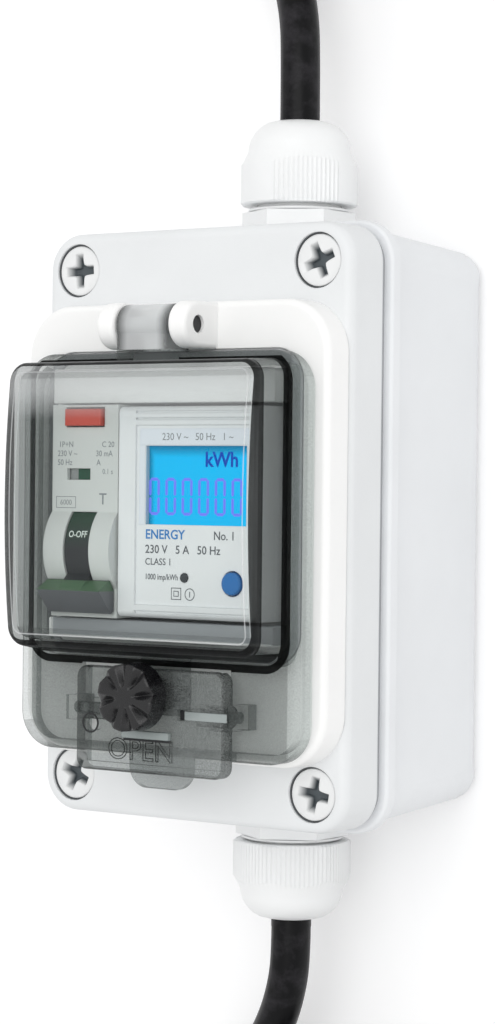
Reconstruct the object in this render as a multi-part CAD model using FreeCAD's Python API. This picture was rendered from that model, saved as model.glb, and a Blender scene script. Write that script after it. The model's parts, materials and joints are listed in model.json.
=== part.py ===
import FreeCAD, Part
import math
import os

V = FreeCAD.Vector
os.makedirs("parts", exist_ok=True)

# Portable energy metering box lying on its back.
# X runs across the window, Y towards the supply gland, Z out of the window.
# The origin is the centre of the back face. All sizes are in millimetres.

# Enclosure
rim_half_x = 41.2
rim_half_y = 64.3
rim_z0 = 41.7
rim_z1 = 45.4
rim_corner = 9.0
case_half_x = 38.9
case_half_y = 63.0
case_draft = 0.05
case_corner = 7.5
case_wall = 2.4
case_floor = 3.0
case_back_round = 5.0
flare_drop = 2.8
cover_half_x = 40.0
cover_half_y = 63.1
cover_corner = 8.0
cover_z0 = 47.4
cover_z1 = 59.0
cover_wall = 2.8
cover_top = 2.4
cover_round = 2.2
gasket_inset = 0.9
gasket_width = 1.9
screw_x = 31.5
screw_y = 55.0
screw_well_r = 5.8
screw_head_r = 5.5
screw_head_h = 3.9
screw_seat_z = 54.6
screw_shank_r = 2.1
screw_end_z = 24.0
boss_r = 5.2
sleeve_r = 7.3
cross_len = 7.2
cross_wide = 1.7
cross_deep = 2.6
cross_turns = (3.0, 22.0, -24.0, 12.0)
mount_x = 22.0
mount_y = 53.0
mount_r = 2.2
mount_head_r = 4.2

# Window opening through the cover and the raised frame
open_x = 29.7
open_y0 = -24.6
open_y1 = 33.1
open_corner = 3.0

# Raised white frame
frame_half_x = 39.4
frame_y0 = -49.2
frame_y1 = 46.8
frame_z1 = 66.3
frame_corner = 11.0
frame_round = 1.5
seal_out = 3.7
seal_in = 1.1
seal_groove = 1.1
seal_stand = 0.2

# Hinge
hinge_y = 41.6
hinge_z = 73.0
ear_x0 = 7.0
ear_x1 = 11.6
ear_r = 4.9
knuckle_x = 6.4
knuckle_r = 4.4
pin_r = 1.85
pin_fit = 0.06
pin_sink = 0.7

# Window door
door_half_x = 36.4
door_y0 = -48.2
door_y1 = 36.2
door_z0 = 66.6
door_z1 = 71.5
door_corner = 8.0
door_wall = 1.8
door_round = 1.2
dome_base_x = 33.0
dome_base_y0 = -28.4
dome_base_y1 = 34.6
dome_front_x = 32.2
dome_front_y0 = -25.2
dome_front_y1 = 33.8
dome_z = 81.0
dome_bow = 2.0
dome_corner = 4.0
dome_round = 1.4
dome_wall = 1.8
tongue_half_x = 8.1
tongue_y = -55.2
tongue_z0 = 67.7
tongue_z1 = 69.2
tongue_corner = 4.5

# Latch tab
tab_half_x = 19.2
tab_y0 = -51.8
tab_y1 = -29.8
tab_z0 = 71.6
tab_z1 = 73.6
tab_skirt = 1.5
tab_wall = 1.6
tab_gap = 0.5
tab_corner = 2.5
pivot_y = -39.0
pivot_z = 70.3
pivot_r = 1.2
pivot_x0 = 8.0
pivot_x1 = 21.4
pivot_fit = 0.05
lug_r = 2.3
hook_x0 = 11.0
hook_x1 = 15.0
hook_z = 63.4
hook_half_y = 0.8
tab_hole_r = 4.6
peg_hole_r = 1.8

# Lock knob
knob_y = -35.4
knob_r = 7.1
knob_z0 = 76.2
knob_z1 = 82.0
knob_neck_r = 3.4
knob_neck_z = 68.7
knob_grooves = 8
groove_r = 1.0
groove_start = 3.0
stem_r = 2.0
stem_top = 79.5
stem_fit = 0.05
cam_z0 = 61.2
cam_z1 = 63.4
cam_half_x = 5.2
cam_half_y = 1.3
cam_pocket_r = 6.1
cam_ledge = 2.3
bridge_half_x = 6.0
bridge_z0 = 66.8
bridge_z1 = 68.4

# Mounting rail
rail_y = 2.75
rail_width = 35.0
rail_height = 7.5
rail_sheet = 1.0
rail_base = 25.0
rail_half_x = 29.0
rail_seat = 12.0
rail_screw_x = 22.0

# Rail mounted devices
device_half_y = 45.0
device_back = 8.0
device_top = rail_y + device_half_y
device_low = rail_y - device_half_y
shoulder_z = 56.0
nose_half_y = 22.5
nose_z = 72.2
breaker_x0 = -27.4
breaker_x1 = -9.6
meter_x0 = -9.0
meter_x1 = 26.8
terminal_pitch = 9.0
terminal_r = 2.6
terminal_y = 35.5
clip_half_x = 5.0
clip_z0 = 8.3
clip_z1 = 10.6
clip_travel = 2.5

# Breaker toggle
toggle_y = -5.5
toggle_z = 63.0
hump_r = 12.2
drum_r = 11.9
drum_x0 = -21.7
drum_x1 = -15.3
drum_side = 0.25
axle_r = 1.5
axle_fit = 0.06
axle_reach = 1.6
lever_half_x = 8.4
lever_outline = ((-6.3, 11.0), (-8.5, 14.8), (-13.3, 10.6), (-12.8, 9.6), (-8.35, 9.6))
lever_root = ((-4.5, 10.4), (-8.4, 14.4), (-12.8, 9.7), (-7.0, 9.5))

# Breaker test button and contact flag
test_x = -18.5
test_y = 22.6
test_half_x = 4.9
test_half_y = 1.8
test_top = 73.3
test_travel = 1.2
button_fit = 0.3
flag_x = -20.2
flag_y = 10.55
flag_half_x = 3.15
flag_half_y = 1.2
flag_travel = 3.1
flag_z0 = 69.6
flag_z1 = 71.0

# Energy meter
bezel_y0 = -19.3
bezel_y1 = 24.8
bezel_z0 = 60.0
label_x0 = -4.6
label_x1 = 24.9
label_y0 = -16.6
label_y1 = 20.9
label_sink = 0.5
display_x0 = -2.2
display_x1 = 23.6
display_y0 = 0.2
display_y1 = 16.6
lamp_x = 8.1
lamp_y = -10.7
lamp_r = 0.95
key_x = 20.3
key_y = -11.6
key_r = 2.35
key_top = 73.1
key_travel = 0.8

# Cable glands and cable
gland_z = 20.0
gland_face = 62.4
gland_inner = 59.2
gland_hole_r = 8.15
barrel_r = 8.0
pad_r = 13.6
washer_r = 11.6
washer_t = 1.2
hex_flats = 22.0
hex_len = 5.8
neck_r = 9.3
cap_r = 12.9
cap_flat = 12.3
cap_y0 = 70.9
cap_y1 = 83.0
cap_shoulder_r = 11.4
cap_y2 = 89.6
cap_mouth_r = 6.6
cap_bore = 5.0
nut_flats = 24.0
nut_len = 4.8
nut_seat_r = 14.3
cable_r = 4.5
seal_ring_r = 7.6
barrel_y0 = 54.0
seal_y0 = 73.0
seal_len = 11.5
tail_y0 = 55.0
tail_y1 = 90.0

# Cable cores and the earth terminal
core_r = 1.3
core_out = 2.2
core_high = 22.0
core_low = 17.4
entry_z = 33.0
entry_step = 4.5
earth_x0 = -13.0
earth_x1 = -3.0
earth_y0 = -53.5
earth_y1 = -44.5
earth_top = 12.0
earth_hole_r = 1.9
earth_screw_r = 1.8
side_run_x = -33.0

# Leads, given by the points of their routes
supply_route = (
    (0.0, 90.0, 20.0), (0.0, 102.1, 20.0), (-2.1, 113.8, 17.5), (-7.1, 124.1, 13.6),
    (-14.6, 132.4, 9.2), (-23.1, 140.5, 7.4), (-29.1, 150.4, 6.1), (-32.2, 161.5, 5.4),
    (-32.2, 173.0, 5.4))
outlet_route = (
    (0.0, -90.0, 20.0), (0.0, -97.9, 20.0), (-1.8, -105.6, 19.4), (-5.2, -113.0, 18.2),
    (-11.3, -121.0, 15.8), (-20.4, -128.1, 11.7), (-26.1, -135.0, 8.7), (-30.1, -143.3, 6.5),
    (-32.2, -152.5, 5.4), (-32.2, -162.0, 5.4))
hank_x = 2.2
hank_half = 34.4
hank_step = 9.6
hank_bend = 36.0
supply_run = 90.5
outlet_run = 114.5
tie_t = 0.8
tie_gap = 0.1
tie_wide = 9.0

# Mains plug and coupling socket
relief_len = 21.0
relief_tip = 0.9
relief_root = 2.4
plug_r = 19.5
plug_h = 21.0
plug_cord_x = 10.0
plug_cord_z = 10.5
plug_pin_r = 2.4
plug_root_r = 1.9
plug_root_z = 6.2
plug_pin_len = 19.0
plug_pin_half = 9.5
coupling_r = 21.0
coupling_len = 54.0
coupling_cord_x = 7.8
coupling_cord_z = 21.0
recess_r = 18.6
recess_deep = 17.0
socket_hole_r = 2.7
contact_r = 3.5
contact_wall = 0.6


def box(x0, x1, y0, y1, z0, z1):
    return Part.makeBox(x1 - x0, y1 - y0, z1 - z0, V(x0, y0, z0))


def slab(x0, x1, y0, y1, z0, z1, corner):
    body = box(x0, x1, y0, y1, z0, z1)
    upright = [e for e in body.Edges if abs(e.BoundBox.ZLength - (z1 - z0)) < 1e-6]
    return body.makeFillet(corner, upright)


def plate(half_x, half_y, z0, z1, corner):
    return slab(-half_x, half_x, -half_y, half_y, z0, z1, corner)


def outline(x0, x1, y0, y1, z, corner):
    k = corner * (1 - math.sqrt(0.5))
    edges = []
    spots = ((x1, y1, -1, -1), (x0, y1, 1, -1), (x0, y0, 1, 1), (x1, y0, -1, 1))
    ends = []
    for i, (x, y, sx, sy) in enumerate(spots):
        a = V(x, y + sy * corner, z)
        b = V(x + sx * corner, y, z)
        m = V(x + sx * k, y + sy * k, z)
        if i % 2:
            a, b = b, a
        ends.append((a, b))
        edges.append(Part.Arc(a, m, b).toShape())
    loop = []
    for i in range(4):
        loop.append(edges[i])
        loop.append(Part.makeLine(ends[i][1], ends[(i + 1) % 4][0]))
    return Part.Wire(loop)


def taper(low, high):
    return Part.makeLoft([outline(*low), outline(*high)], True, True)


def rod(r, x, y, z, length, along):
    return Part.makeCylinder(r, length, V(x, y, z), along)


def ring(r_out, r_in, x, y, z, length, along):
    return rod(r_out, x, y, z, length, along).cut(rod(r_in, x, y, z, length, along))


def prism(points, x0, x1):
    pts = [V(x0, y, z) for y, z in points]
    face = Part.Face(Part.makePolygon(pts + [pts[0]]))
    return face.extrude(V(x1 - x0, 0, 0))


def hexagon(flats, y, length, z):
    r = flats / math.sqrt(3)
    pts = []
    for k in range(6):
        a = math.radians(60 * k + 30)
        pts.append(V(r * math.cos(a), y, z + r * math.sin(a)))
    face = Part.Face(Part.makePolygon(pts + [pts[0]]))
    return face.extrude(V(0, length, 0))


def edges_at(body, z, tol=1e-3):
    found = []
    for e in body.Edges:
        b = e.BoundBox
        if abs(b.ZMin - z) < tol and abs(b.ZMax - z) < tol:
            found.append(e)
    return found


def merged(body):
    try:
        return body.copy().removeSplitter()
    except Part.OCCError:
        return body


def save(name, body):
    solids = body if isinstance(body, list) else [body]
    out = []
    for s in solids:
        out.extend(merged(s).Solids)
    bad = [s for s in out if not s.isValid()]
    shape = out[0] if len(out) == 1 else Part.Compound(out)
    shape.exportStep("parts/%s.step" % name)
    b = shape.BoundBox
    note = " INVALID" if bad else ""
    print("%-18s solids %d  volume %9.1f  x %7.2f %7.2f  y %7.2f %7.2f  z %6.2f %6.2f%s" % (
        name, len(out), sum(s.Volume for s in out), b.XMin, b.XMax, b.YMin, b.YMax, b.ZMin, b.ZMax, note))
    return shape


def corners():
    return ((-1, 1), (1, 1), (-1, -1), (1, -1))


# Rear case

def case_inset(z):
    return case_draft * (rim_z0 - z)


def rear_case():
    i0 = case_inset(0)
    body = taper(
        (-case_half_x + i0, case_half_x - i0, -case_half_y + i0, case_half_y - i0, 0, case_corner),
        (-case_half_x, case_half_x, -case_half_y, case_half_y, rim_z0, case_corner))
    body = body.makeFillet(case_back_round, edges_at(body, 0))
    flare = taper(
        (-case_half_x + 0.2, case_half_x - 0.2, -case_half_y + 0.2, case_half_y - 0.2,
         rim_z0 - flare_drop, case_corner),
        (-rim_half_x + 1, rim_half_x - 1, -rim_half_y + 0.6, rim_half_y - 0.6, rim_z0, case_corner + 0.5))
    rim = plate(rim_half_x, rim_half_y, rim_z0, rim_z1, rim_corner)
    rim = rim.makeFillet(0.8, edges_at(rim, rim_z1) + edges_at(rim, rim_z0))
    body = body.fuse(flare).fuse(rim)
    for s in (-1, 1):
        y = gland_inner if s > 0 else -gland_face
        body = body.fuse(rod(pad_r, 0, y, gland_z, gland_face - gland_inner, V(0, 1, 0)))
    w = case_wall
    i1 = case_inset(case_floor) + w
    hollow = taper(
        (-case_half_x + i1, case_half_x - i1, -case_half_y + i1, case_half_y - i1, case_floor,
         case_corner - w),
        (-case_half_x + w, case_half_x - w, -case_half_y + w, case_half_y - w, rim_z1 + 1,
         case_corner - w))
    for s in (-1, 1):
        y = gland_inner if s > 0 else -gland_face
        hollow = hollow.cut(rod(pad_r, 0, y, gland_z, gland_face - gland_inner, V(0, 1, 0)))
    body = body.cut(hollow)
    for sx, sy in corners():
        boss = rod(boss_r, sx * screw_x, sy * screw_y, case_floor - 0.5, cover_z0 - case_floor, V(0, 0, 1))
        web = box(-1.2, 1.2, 0, 6, case_floor - 0.5, rim_z0)
        web.translate(V(sx * screw_x, sy * screw_y if sy > 0 else -screw_y - 6, 0))
        body = body.fuse(boss).fuse(web)
    shell = taper(
        (-case_half_x + i0, case_half_x - i0, -case_half_y + i0, case_half_y - i0, 0, case_corner),
        (-case_half_x, case_half_x, -case_half_y, case_half_y, rim_z0, case_corner))
    keep = shell.fuse(plate(rim_half_x, rim_half_y, rim_z0, cover_z0, rim_corner))
    for s in (-1, 1):
        y = gland_inner if s > 0 else -gland_face
        keep = keep.fuse(rod(pad_r, 0, y, gland_z, gland_face - gland_inner, V(0, 1, 0)))
    keep = keep.fuse(flare)
    body = body.common(keep)
    post_h = rail_seat - rail_height - case_floor
    for sx in (-1, 1):
        x = sx * rail_screw_x
        body = body.fuse(box(x - 5, x + 5, rail_y - 9, rail_y + 9, case_floor - 0.5, case_floor + post_h))
        body = body.cut(rod(1.9, x, rail_y, 0.9, 6, V(0, 0, 1)))
    for sx, sy in corners():
        body = body.cut(rod(screw_shank_r + 0.2, sx * screw_x, sy * screw_y, screw_end_z - 2, 30, V(0, 0, 1)))
        body = body.cut(rod(mount_r, sx * mount_x, sy * mount_y, -1, 6, V(0, 0, 1)))
        body = body.cut(rod(mount_head_r, sx * mount_x, sy * mount_y, case_floor - 0.8, 1, V(0, 0, 1)))
    for s in (-1, 1):
        body = body.cut(rod(gland_hole_r, 0, s * tail_y0, gland_z, 12, V(0, s, 0)))
        body = body.cut(rod(pad_r, 0, s * gland_face, gland_z, 2, V(0, s, 0)))
        body = body.cut(rod(nut_seat_r, 0, s * barrel_y0, gland_z, gland_inner - barrel_y0, V(0, s, 0)))
    return body


def cover_gasket():
    x1 = cover_half_x - gasket_inset
    y1 = cover_half_y - gasket_inset
    outer = plate(x1, y1, rim_z1, cover_z0, cover_corner - gasket_inset)
    x2 = x1 - gasket_width
    y2 = y1 - gasket_width
    inner = plate(x2, y2, rim_z1 - 1, cover_z0 + 1, cover_corner - gasket_inset - gasket_width)
    return outer.cut(inner)


# Front cover

def window_hole(z0, z1, grow=0.0):
    return slab(-open_x - grow, open_x + grow, open_y0 - grow, open_y1 + grow, z0, z1, open_corner + grow)


def front_cover():
    body = plate(cover_half_x, cover_half_y, cover_z0, cover_z1, cover_corner)
    body = body.makeFillet(cover_round, edges_at(body, cover_z1))
    w = cover_wall
    hollow = plate(cover_half_x - w, cover_half_y - w, cover_z0 - 1, cover_z1 - cover_top, cover_corner - w)
    sleeves = []
    for sx, sy in corners():
        tall = cover_z1 - cover_z0
        sleeves.append(rod(sleeve_r, sx * screw_x, sy * screw_y, cover_z0, tall, V(0, 0, 1)))
    for s in sleeves:
        hollow = hollow.cut(s)
    body = body.cut(hollow)
    body = body.cut(window_hole(cover_z0, cover_z1 + 1))
    for sx, sy in corners():
        body = body.cut(rod(screw_well_r, sx * screw_x, sy * screw_y, screw_seat_z, 10, V(0, 0, 1)))
        body = body.cut(rod(screw_shank_r + 0.3, sx * screw_x, sy * screw_y, cover_z0 - 1, 12, V(0, 0, 1)))
    return body


def cover_screws():
    out = []
    for (sx, sy), turn in zip(corners(), cross_turns):
        x = sx * screw_x
        y = sy * screw_y
        head = rod(screw_head_r, x, y, screw_seat_z, screw_head_h, V(0, 0, 1))
        head = head.makeFillet(0.5, edges_at(head, screw_seat_z + screw_head_h))
        head = head.fuse(rod(screw_shank_r, x, y, screw_end_z, screw_seat_z - screw_end_z, V(0, 0, 1)))
        for extra in (0, 90):
            top = screw_seat_z + screw_head_h
            slot = box(-cross_len / 2, cross_len / 2, -cross_wide / 2, cross_wide / 2, top - cross_deep, top + 1)
            slot.rotate(V(0, 0, 0), V(0, 0, 1), turn + extra)
            slot.translate(V(x, y, 0))
            head = head.cut(slot)
        out.append(head)
    return out


# Raised frame with the hinge ears

def ear(x0, x1):
    body = rod(ear_r, x0, hinge_y, hinge_z, x1 - x0, V(1, 0, 0))
    body = body.fuse(box(x0, x1, hinge_y - ear_r, hinge_y + ear_r, frame_z1 - 0.5, hinge_z))
    rounded = [e for e in body.Edges if e.BoundBox.XLength < 1e-6 and e.BoundBox.ZMax > hinge_z + 1]
    return body.makeFillet(1.1, rounded)


def cover_frame():
    body = slab(-frame_half_x, frame_half_x, frame_y0, frame_y1, cover_z1, frame_z1, frame_corner)
    body = body.makeFillet(frame_round, edges_at(body, frame_z1))
    body = body.cut(window_hole(cover_z1 - 1, frame_z1 + 1))
    groove = window_hole(frame_z1 - seal_groove, frame_z1 + 1, seal_out)
    groove = groove.cut(window_hole(frame_z1 - seal_groove - 1, frame_z1 + 2, seal_in))
    body = body.cut(groove)
    body = body.fuse(ear(ear_x0, ear_x1)).fuse(ear(-ear_x1, -ear_x0))
    body = body.cut(rod(pin_r + 0.02, -20, hinge_y, hinge_z, 40, V(1, 0, 0)))
    pocket = rod(cam_pocket_r, 0, knob_y, cover_z1 + 1.2, frame_z1 - cam_ledge - cover_z1 - 1.2, V(0, 0, 1))
    slot = box(-cam_half_x - 0.5, cam_half_x + 0.5, knob_y - cam_half_y - 1.3, knob_y + cam_half_y + 0.5,
               cover_z1 + 1.2, frame_z1 + 1)
    waist = rod(stem_r + 0.9, 0, knob_y - 0.3, cover_z1 + 1.2, 20, V(0, 0, 1))
    body = body.cut(pocket).cut(slot).cut(waist)
    for s in (-1, 1):
        x0, x1 = sorted((s * (hook_x0 - 0.6), s * (hook_x1 + 0.6)))
        body = body.cut(box(x0, x1, pivot_y - 3.6, pivot_y + 1.4, hook_z - 1.2, frame_z1 + 1))
    return body


def window_seal():
    outer = window_hole(frame_z1 - seal_groove, frame_z1 + seal_stand, seal_out - 0.3)
    inner = window_hole(frame_z1 - seal_groove - 1, frame_z1 + seal_stand + 1, seal_in + 0.3)
    return outer.cut(inner)


def hinge_pin():
    reach = ear_x1 - pin_sink
    return rod(pin_r, -reach, hinge_y, hinge_z, 2 * reach, V(1, 0, 0))


# Window door

def dome_solid(inset, z0, bow_drop):
    half = (dome_front_y1 - dome_front_y0) / 2
    mid = (dome_front_y1 + dome_front_y0) / 2
    top = dome_z + dome_bow + 1
    corner = dome_corner - inset * 0.7
    body = taper(
        (-dome_base_x + inset, dome_base_x - inset, dome_base_y0 + inset, dome_base_y1 - inset, z0, corner),
        (-dome_front_x + inset, dome_front_x - inset, dome_front_y0 + inset, dome_front_y1 - inset, top, corner))
    crown = dome_z + dome_bow - bow_drop
    reach = half + 8
    radius = (half * half + dome_bow * dome_bow) / (2 * dome_bow) - bow_drop
    drop = radius - math.sqrt(radius * radius - reach * reach)
    x = -dome_base_x - 5
    a = V(x, mid - reach, crown - drop)
    b = V(x, mid, crown)
    c = V(x, mid + reach, crown - drop)
    low_c = V(x, mid + reach, z0 - 5)
    low_a = V(x, mid - reach, z0 - 5)
    wire = Part.Wire([Part.Arc(a, b, c).toShape(), Part.makeLine(c, low_c), Part.makeLine(low_c, low_a),
                      Part.makeLine(low_a, a)])
    return body.common(Part.Face(wire).extrude(V(-2 * x, 0, 0)))


def window_door():
    body = slab(-door_half_x, door_half_x, door_y0, door_y1, door_z0, door_z1, door_corner)
    body = body.makeFillet(door_round, edges_at(body, door_z1))
    w = door_wall
    hollow = slab(-door_half_x + w, door_half_x - w, door_y0 + w, door_y1 - w, door_z0 - 1, door_z1 - w,
                  door_corner - w)
    body = body.cut(hollow)
    dome = dome_solid(0, door_z0 + 0.3, 0)
    front = [e for e in dome.Edges if e.BoundBox.ZMin > dome_z - 1.5]
    dome = dome.makeFillet(dome_round, front)
    body = body.fuse(dome)
    body = body.cut(dome_solid(dome_wall, door_z0 - 1, dome_wall))
    strap = box(-knuckle_x, knuckle_x, dome_base_y1 - 1, hinge_y, door_z1 - w - 0.4, hinge_z + knuckle_r - 0.4)
    strap = strap.fuse(rod(knuckle_r, -knuckle_x, hinge_y, hinge_z, 2 * knuckle_x, V(1, 0, 0)))
    strap = strap.cut(dome_solid(dome_wall * 0.5, door_z0 - 1, dome_wall * 0.5))
    body = body.fuse(strap)
    body = body.cut(rod(pin_r + pin_fit, -20, hinge_y, hinge_z, 40, V(1, 0, 0)))
    tongue = slab(-tongue_half_x, tongue_half_x, tongue_y, door_y0 + 6, tongue_z0, tongue_z1, tongue_corner)
    tongue = tongue.cut(box(-20, 20, door_y0 + 1, door_y0 + 9, tongue_z0 - 1, tongue_z1 + 1))
    body = body.fuse(tongue)
    pocket = box(-tab_half_x - tab_gap, tab_half_x + tab_gap, door_y0 - 1, tab_y1 + tab_gap,
                 tongue_z1, door_z1 + 1)
    body = body.cut(pocket)
    bridge = box(-bridge_half_x, bridge_half_x, knob_y - 4.4, dome_base_y0 + 0.9, bridge_z0, bridge_z1)
    body = body.fuse(bridge)
    body = body.cut(rod(stem_r + stem_fit, 0, knob_y, bridge_z0 - 1, 4, V(0, 0, 1)))
    for s in (-1, 1):
        x0, x1 = sorted((s * (tab_half_x + tab_gap - 0.01), s * (pivot_x1 + 1.4)))
        body = body.fuse(box(x0, x1, pivot_y - 2.6, pivot_y + 2.6, door_z1 - w - 3, door_z1 + 0.9))
    body = body.cut(rod(pivot_r + 0.02, -pivot_x1, pivot_y, pivot_z, 2 * pivot_x1, V(1, 0, 0)))
    return body


# Latch tab and its pins

def latch_tab():
    body = slab(-tab_half_x, tab_half_x, tab_y0, tab_y1, tab_z0 - tab_skirt, tab_z1, tab_corner)
    body = body.makeFillet(0.7, edges_at(body, tab_z1))
    w = tab_wall
    body = body.cut(box(-tab_half_x + w, tab_half_x - w, tab_y0 + w, tab_y1 + 1, tab_z0 - 4, tab_z0))
    for s in (-1, 1):
        x0, x1 = sorted((s * hook_x0, s * (tab_half_x - 0.01)))
        lug = rod(lug_r, x0, pivot_y, pivot_z, x1 - x0, V(1, 0, 0))
        lug = lug.fuse(box(x0, x1, pivot_y - lug_r, pivot_y + lug_r, pivot_z, tab_z0 + 0.2))
        x0, x1 = sorted((s * hook_x0, s * hook_x1))
        hook = box(x0, x1, pivot_y - hook_half_y, pivot_y + hook_half_y, hook_z, pivot_z)
        nib = rod(0.6, x0, pivot_y + hook_half_y - 0.2, hook_z + 0.8, x1 - x0, V(1, 0, 0))
        body = body.fuse(lug).fuse(hook).fuse(nib)
    bar = box(-6.2, 6.2, knob_y - 9.0, knob_y - 7.4, tab_z1 - 0.2, tab_z1 + 1.0)
    body = body.fuse(bar)
    body = body.cut(rod(pivot_r + pivot_fit, -30, pivot_y, pivot_z, 60, V(1, 0, 0)))
    body = body.cut(rod(tab_hole_r, 0, knob_y, tab_z0 - 4, 8, V(0, 0, 1)))
    body = body.cut(rod(peg_hole_r, -15.2, pivot_y - 2.9, tab_z0 - 0.5, 8, V(0, 0, 1)))
    body = body.cut(box(7.6, 9.6, pivot_y - 1.1, pivot_y + 1.1, tab_z0 - 4, tab_z1 + 2))
    return body


def latch_pins():
    out = []
    for s in (-1, 1):
        x0, x1 = sorted((s * pivot_x0, s * (pivot_x1 - 0.2)))
        out.append(rod(pivot_r, x0, pivot_y, pivot_z, x1 - x0, V(1, 0, 0)))
    return out


# Lock knob

def lock_knob():
    body = rod(knob_r, 0, knob_y, knob_z0, knob_z1 - knob_z0, V(0, 0, 1))
    body = body.makeFillet(0.9, edges_at(body, knob_z1))
    body = body.fuse(rod(knob_neck_r, 0, knob_y, knob_neck_z, knob_z0 - knob_neck_z, V(0, 0, 1)))
    for k in range(knob_grooves):
        a = math.radians(360 / knob_grooves * k + 8)
        along = V(math.cos(a), math.sin(a), 0)
        start = V(0, knob_y, knob_z1 + 0.1) + along * groove_start
        cut = Part.makeCylinder(groove_r, knob_r, start, along).fuse(Part.makeSphere(groove_r, start))
        body = body.cut(cut)
        rim_spot = V(0, knob_y, knob_z0 - 1) + along * (knob_r + 0.45)
        body = body.cut(Part.makeCylinder(groove_r, knob_z1 - knob_z0 + 2, rim_spot, V(0, 0, 1)))
    return body.cut(rod(stem_r + 0.02, 0, knob_y, knob_neck_z - 1, stem_top + 0.2 - knob_neck_z + 1, V(0, 0, 1)))


def knob_stem():
    body = rod(stem_r, 0, knob_y, cam_z0, stem_top - cam_z0, V(0, 0, 1))
    bar = box(-cam_half_x, cam_half_x, knob_y - cam_half_y, knob_y + cam_half_y, cam_z0, cam_z1)
    return body.fuse(bar)


# Mounting rail

def mounting_rail():
    t = rail_sheet
    z1 = rail_seat
    z0 = rail_seat - rail_height
    w = rail_width / 2
    b = rail_base / 2
    pts = [(-w, z1 - t), (-b, z1 - t), (-b, z0), (b, z0), (b, z1 - t), (w, z1 - t), (w, z1),
           (b - t, z1), (b - t, z0 + t), (-b + t, z0 + t), (-b + t, z1), (-w, z1)]
    body = prism([(rail_y + y, z) for y, z in pts], -rail_half_x, rail_half_x)
    for sx in (-1, 1):
        body = body.cut(rod(2.1, sx * rail_screw_x, rail_y, z0 - 1, 5, V(0, 0, 1)))
    return body


def rail_screws():
    out = []
    z = rail_seat - rail_height + rail_sheet
    for sx in (-1, 1):
        x = sx * rail_screw_x
        head = rod(3.4, x, rail_y, z, 2.2, V(0, 0, 1))
        head = head.fuse(rod(1.8, x, rail_y, 1.2, z - 1.2, V(0, 0, 1)))
        out.append(head.cut(box(x - 2.6, x + 2.6, rail_y - 0.4, rail_y + 0.4, z + 1.2, z + 3)))
    return out


# Rail mounted devices

def device_body(x0, x1, top):
    y0 = rail_y - device_half_y
    y1 = rail_y + device_half_y
    w = rail_width / 2
    pts = [(y0, device_back), (rail_y - w - 1.4, device_back), (rail_y - w - 1.4, rail_seat),
           (rail_y + w + 0.6, rail_seat), (rail_y + w + 0.6, 10.7), (rail_y + w - 1.6, 10.7),
           (rail_y + w - 1.6, device_back), (y1, device_back), (y1, shoulder_z - 10),
           (y1 - 4, shoulder_z), (rail_y + nose_half_y, shoulder_z), (rail_y + nose_half_y, top),
           (rail_y - nose_half_y, top), (rail_y - nose_half_y, shoulder_z), (y0 + 4, shoulder_z),
           (y0, shoulder_z - 10)]
    body = prism(pts, x0, x1)
    mid = (x0 + x1) / 2
    slot = box(mid - clip_half_x - 0.3, mid + clip_half_x + 0.3, y0 - 1, rail_y - w + 0.1,
               device_back - 1, clip_z1 + 0.3)
    return body.cut(slot)


def terminal_spots(x0, x1):
    mid = (x0 + x1) / 2
    count = int(round((x1 - x0) / terminal_pitch))
    spots = []
    for k in range(count):
        x = mid + (k - (count - 1) / 2) * terminal_pitch
        spots.append((x, rail_y - terminal_y))
        spots.append((x, rail_y + terminal_y))
    return spots


def cut_terminals(body, x0, x1):
    for x, y in terminal_spots(x0, x1):
        body = body.cut(rod(terminal_r + 0.3, x, y, shoulder_z - 12, 20, V(0, 0, 1)))
    return body


def terminal_screws(x0, x1):
    out = []
    z = shoulder_z - 11.7
    for x, y in terminal_spots(x0, x1):
        head = rod(terminal_r, x, y, z, 4, V(0, 0, 1))
        for extra in (0, 90):
            slot = box(-1.9, 1.9, -0.45, 0.45, z + 2.4, z + 5)
            slot.rotate(V(0, 0, 0), V(0, 0, 1), 30 + extra + 7 * x)
            slot.translate(V(x, y, 0))
            head = head.cut(slot)
        out.append(head)
    return out


def rail_clip(x0, x1):
    mid = (x0 + x1) / 2
    y1 = rail_y - rail_width / 2 + 1.4
    y0 = rail_y - device_half_y - 1.5
    body = box(mid - clip_half_x, mid + clip_half_x, y0, y1, clip_z0, clip_z1)
    return body.cut(box(mid - 2.4, mid + 2.4, y0 + 1.6, y0 + 4.4, clip_z0 - 1, clip_z1 + 1))


# Breaker

def breaker_case():
    body = device_body(breaker_x0, breaker_x1, nose_z)
    hump = rod(hump_r, breaker_x0, toggle_y, toggle_z, breaker_x1 - breaker_x0, V(1, 0, 0))
    hump = hump.common(box(breaker_x0, breaker_x1, toggle_y - 20, toggle_y + 20, shoulder_z + 4, 90))
    body = body.fuse(hump)
    body = cut_terminals(body, breaker_x0, breaker_x1)
    body = body.cut(rod(drum_r + 0.3, drum_x0 - drum_side, toggle_y, toggle_z,
                        drum_x1 - drum_x0 + 2 * drum_side, V(1, 0, 0)))
    body = body.cut(rod(axle_r + axle_fit, drum_x0 - axle_reach - 0.2, toggle_y, toggle_z,
                        drum_x1 - drum_x0 + 2 * axle_reach + 0.4, V(1, 0, 0)))
    f = button_fit
    body = body.cut(box(test_x - test_half_x - f, test_x + test_half_x + f, test_y - test_half_y - f,
                        test_y + test_half_y + f, nose_z - 4, nose_z + 1))
    body = body.cut(box(flag_x - flag_half_x, flag_x + flag_half_x, flag_y - flag_half_y,
                        flag_y + flag_half_y, flag_z0, nose_z + 1))
    body = body.cut(box(flag_x - 6.4, flag_x + 6.9, flag_y - flag_half_y - f, flag_y + flag_half_y + f,
                        flag_z0 - f, flag_z1 + 0.2))
    return body


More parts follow.
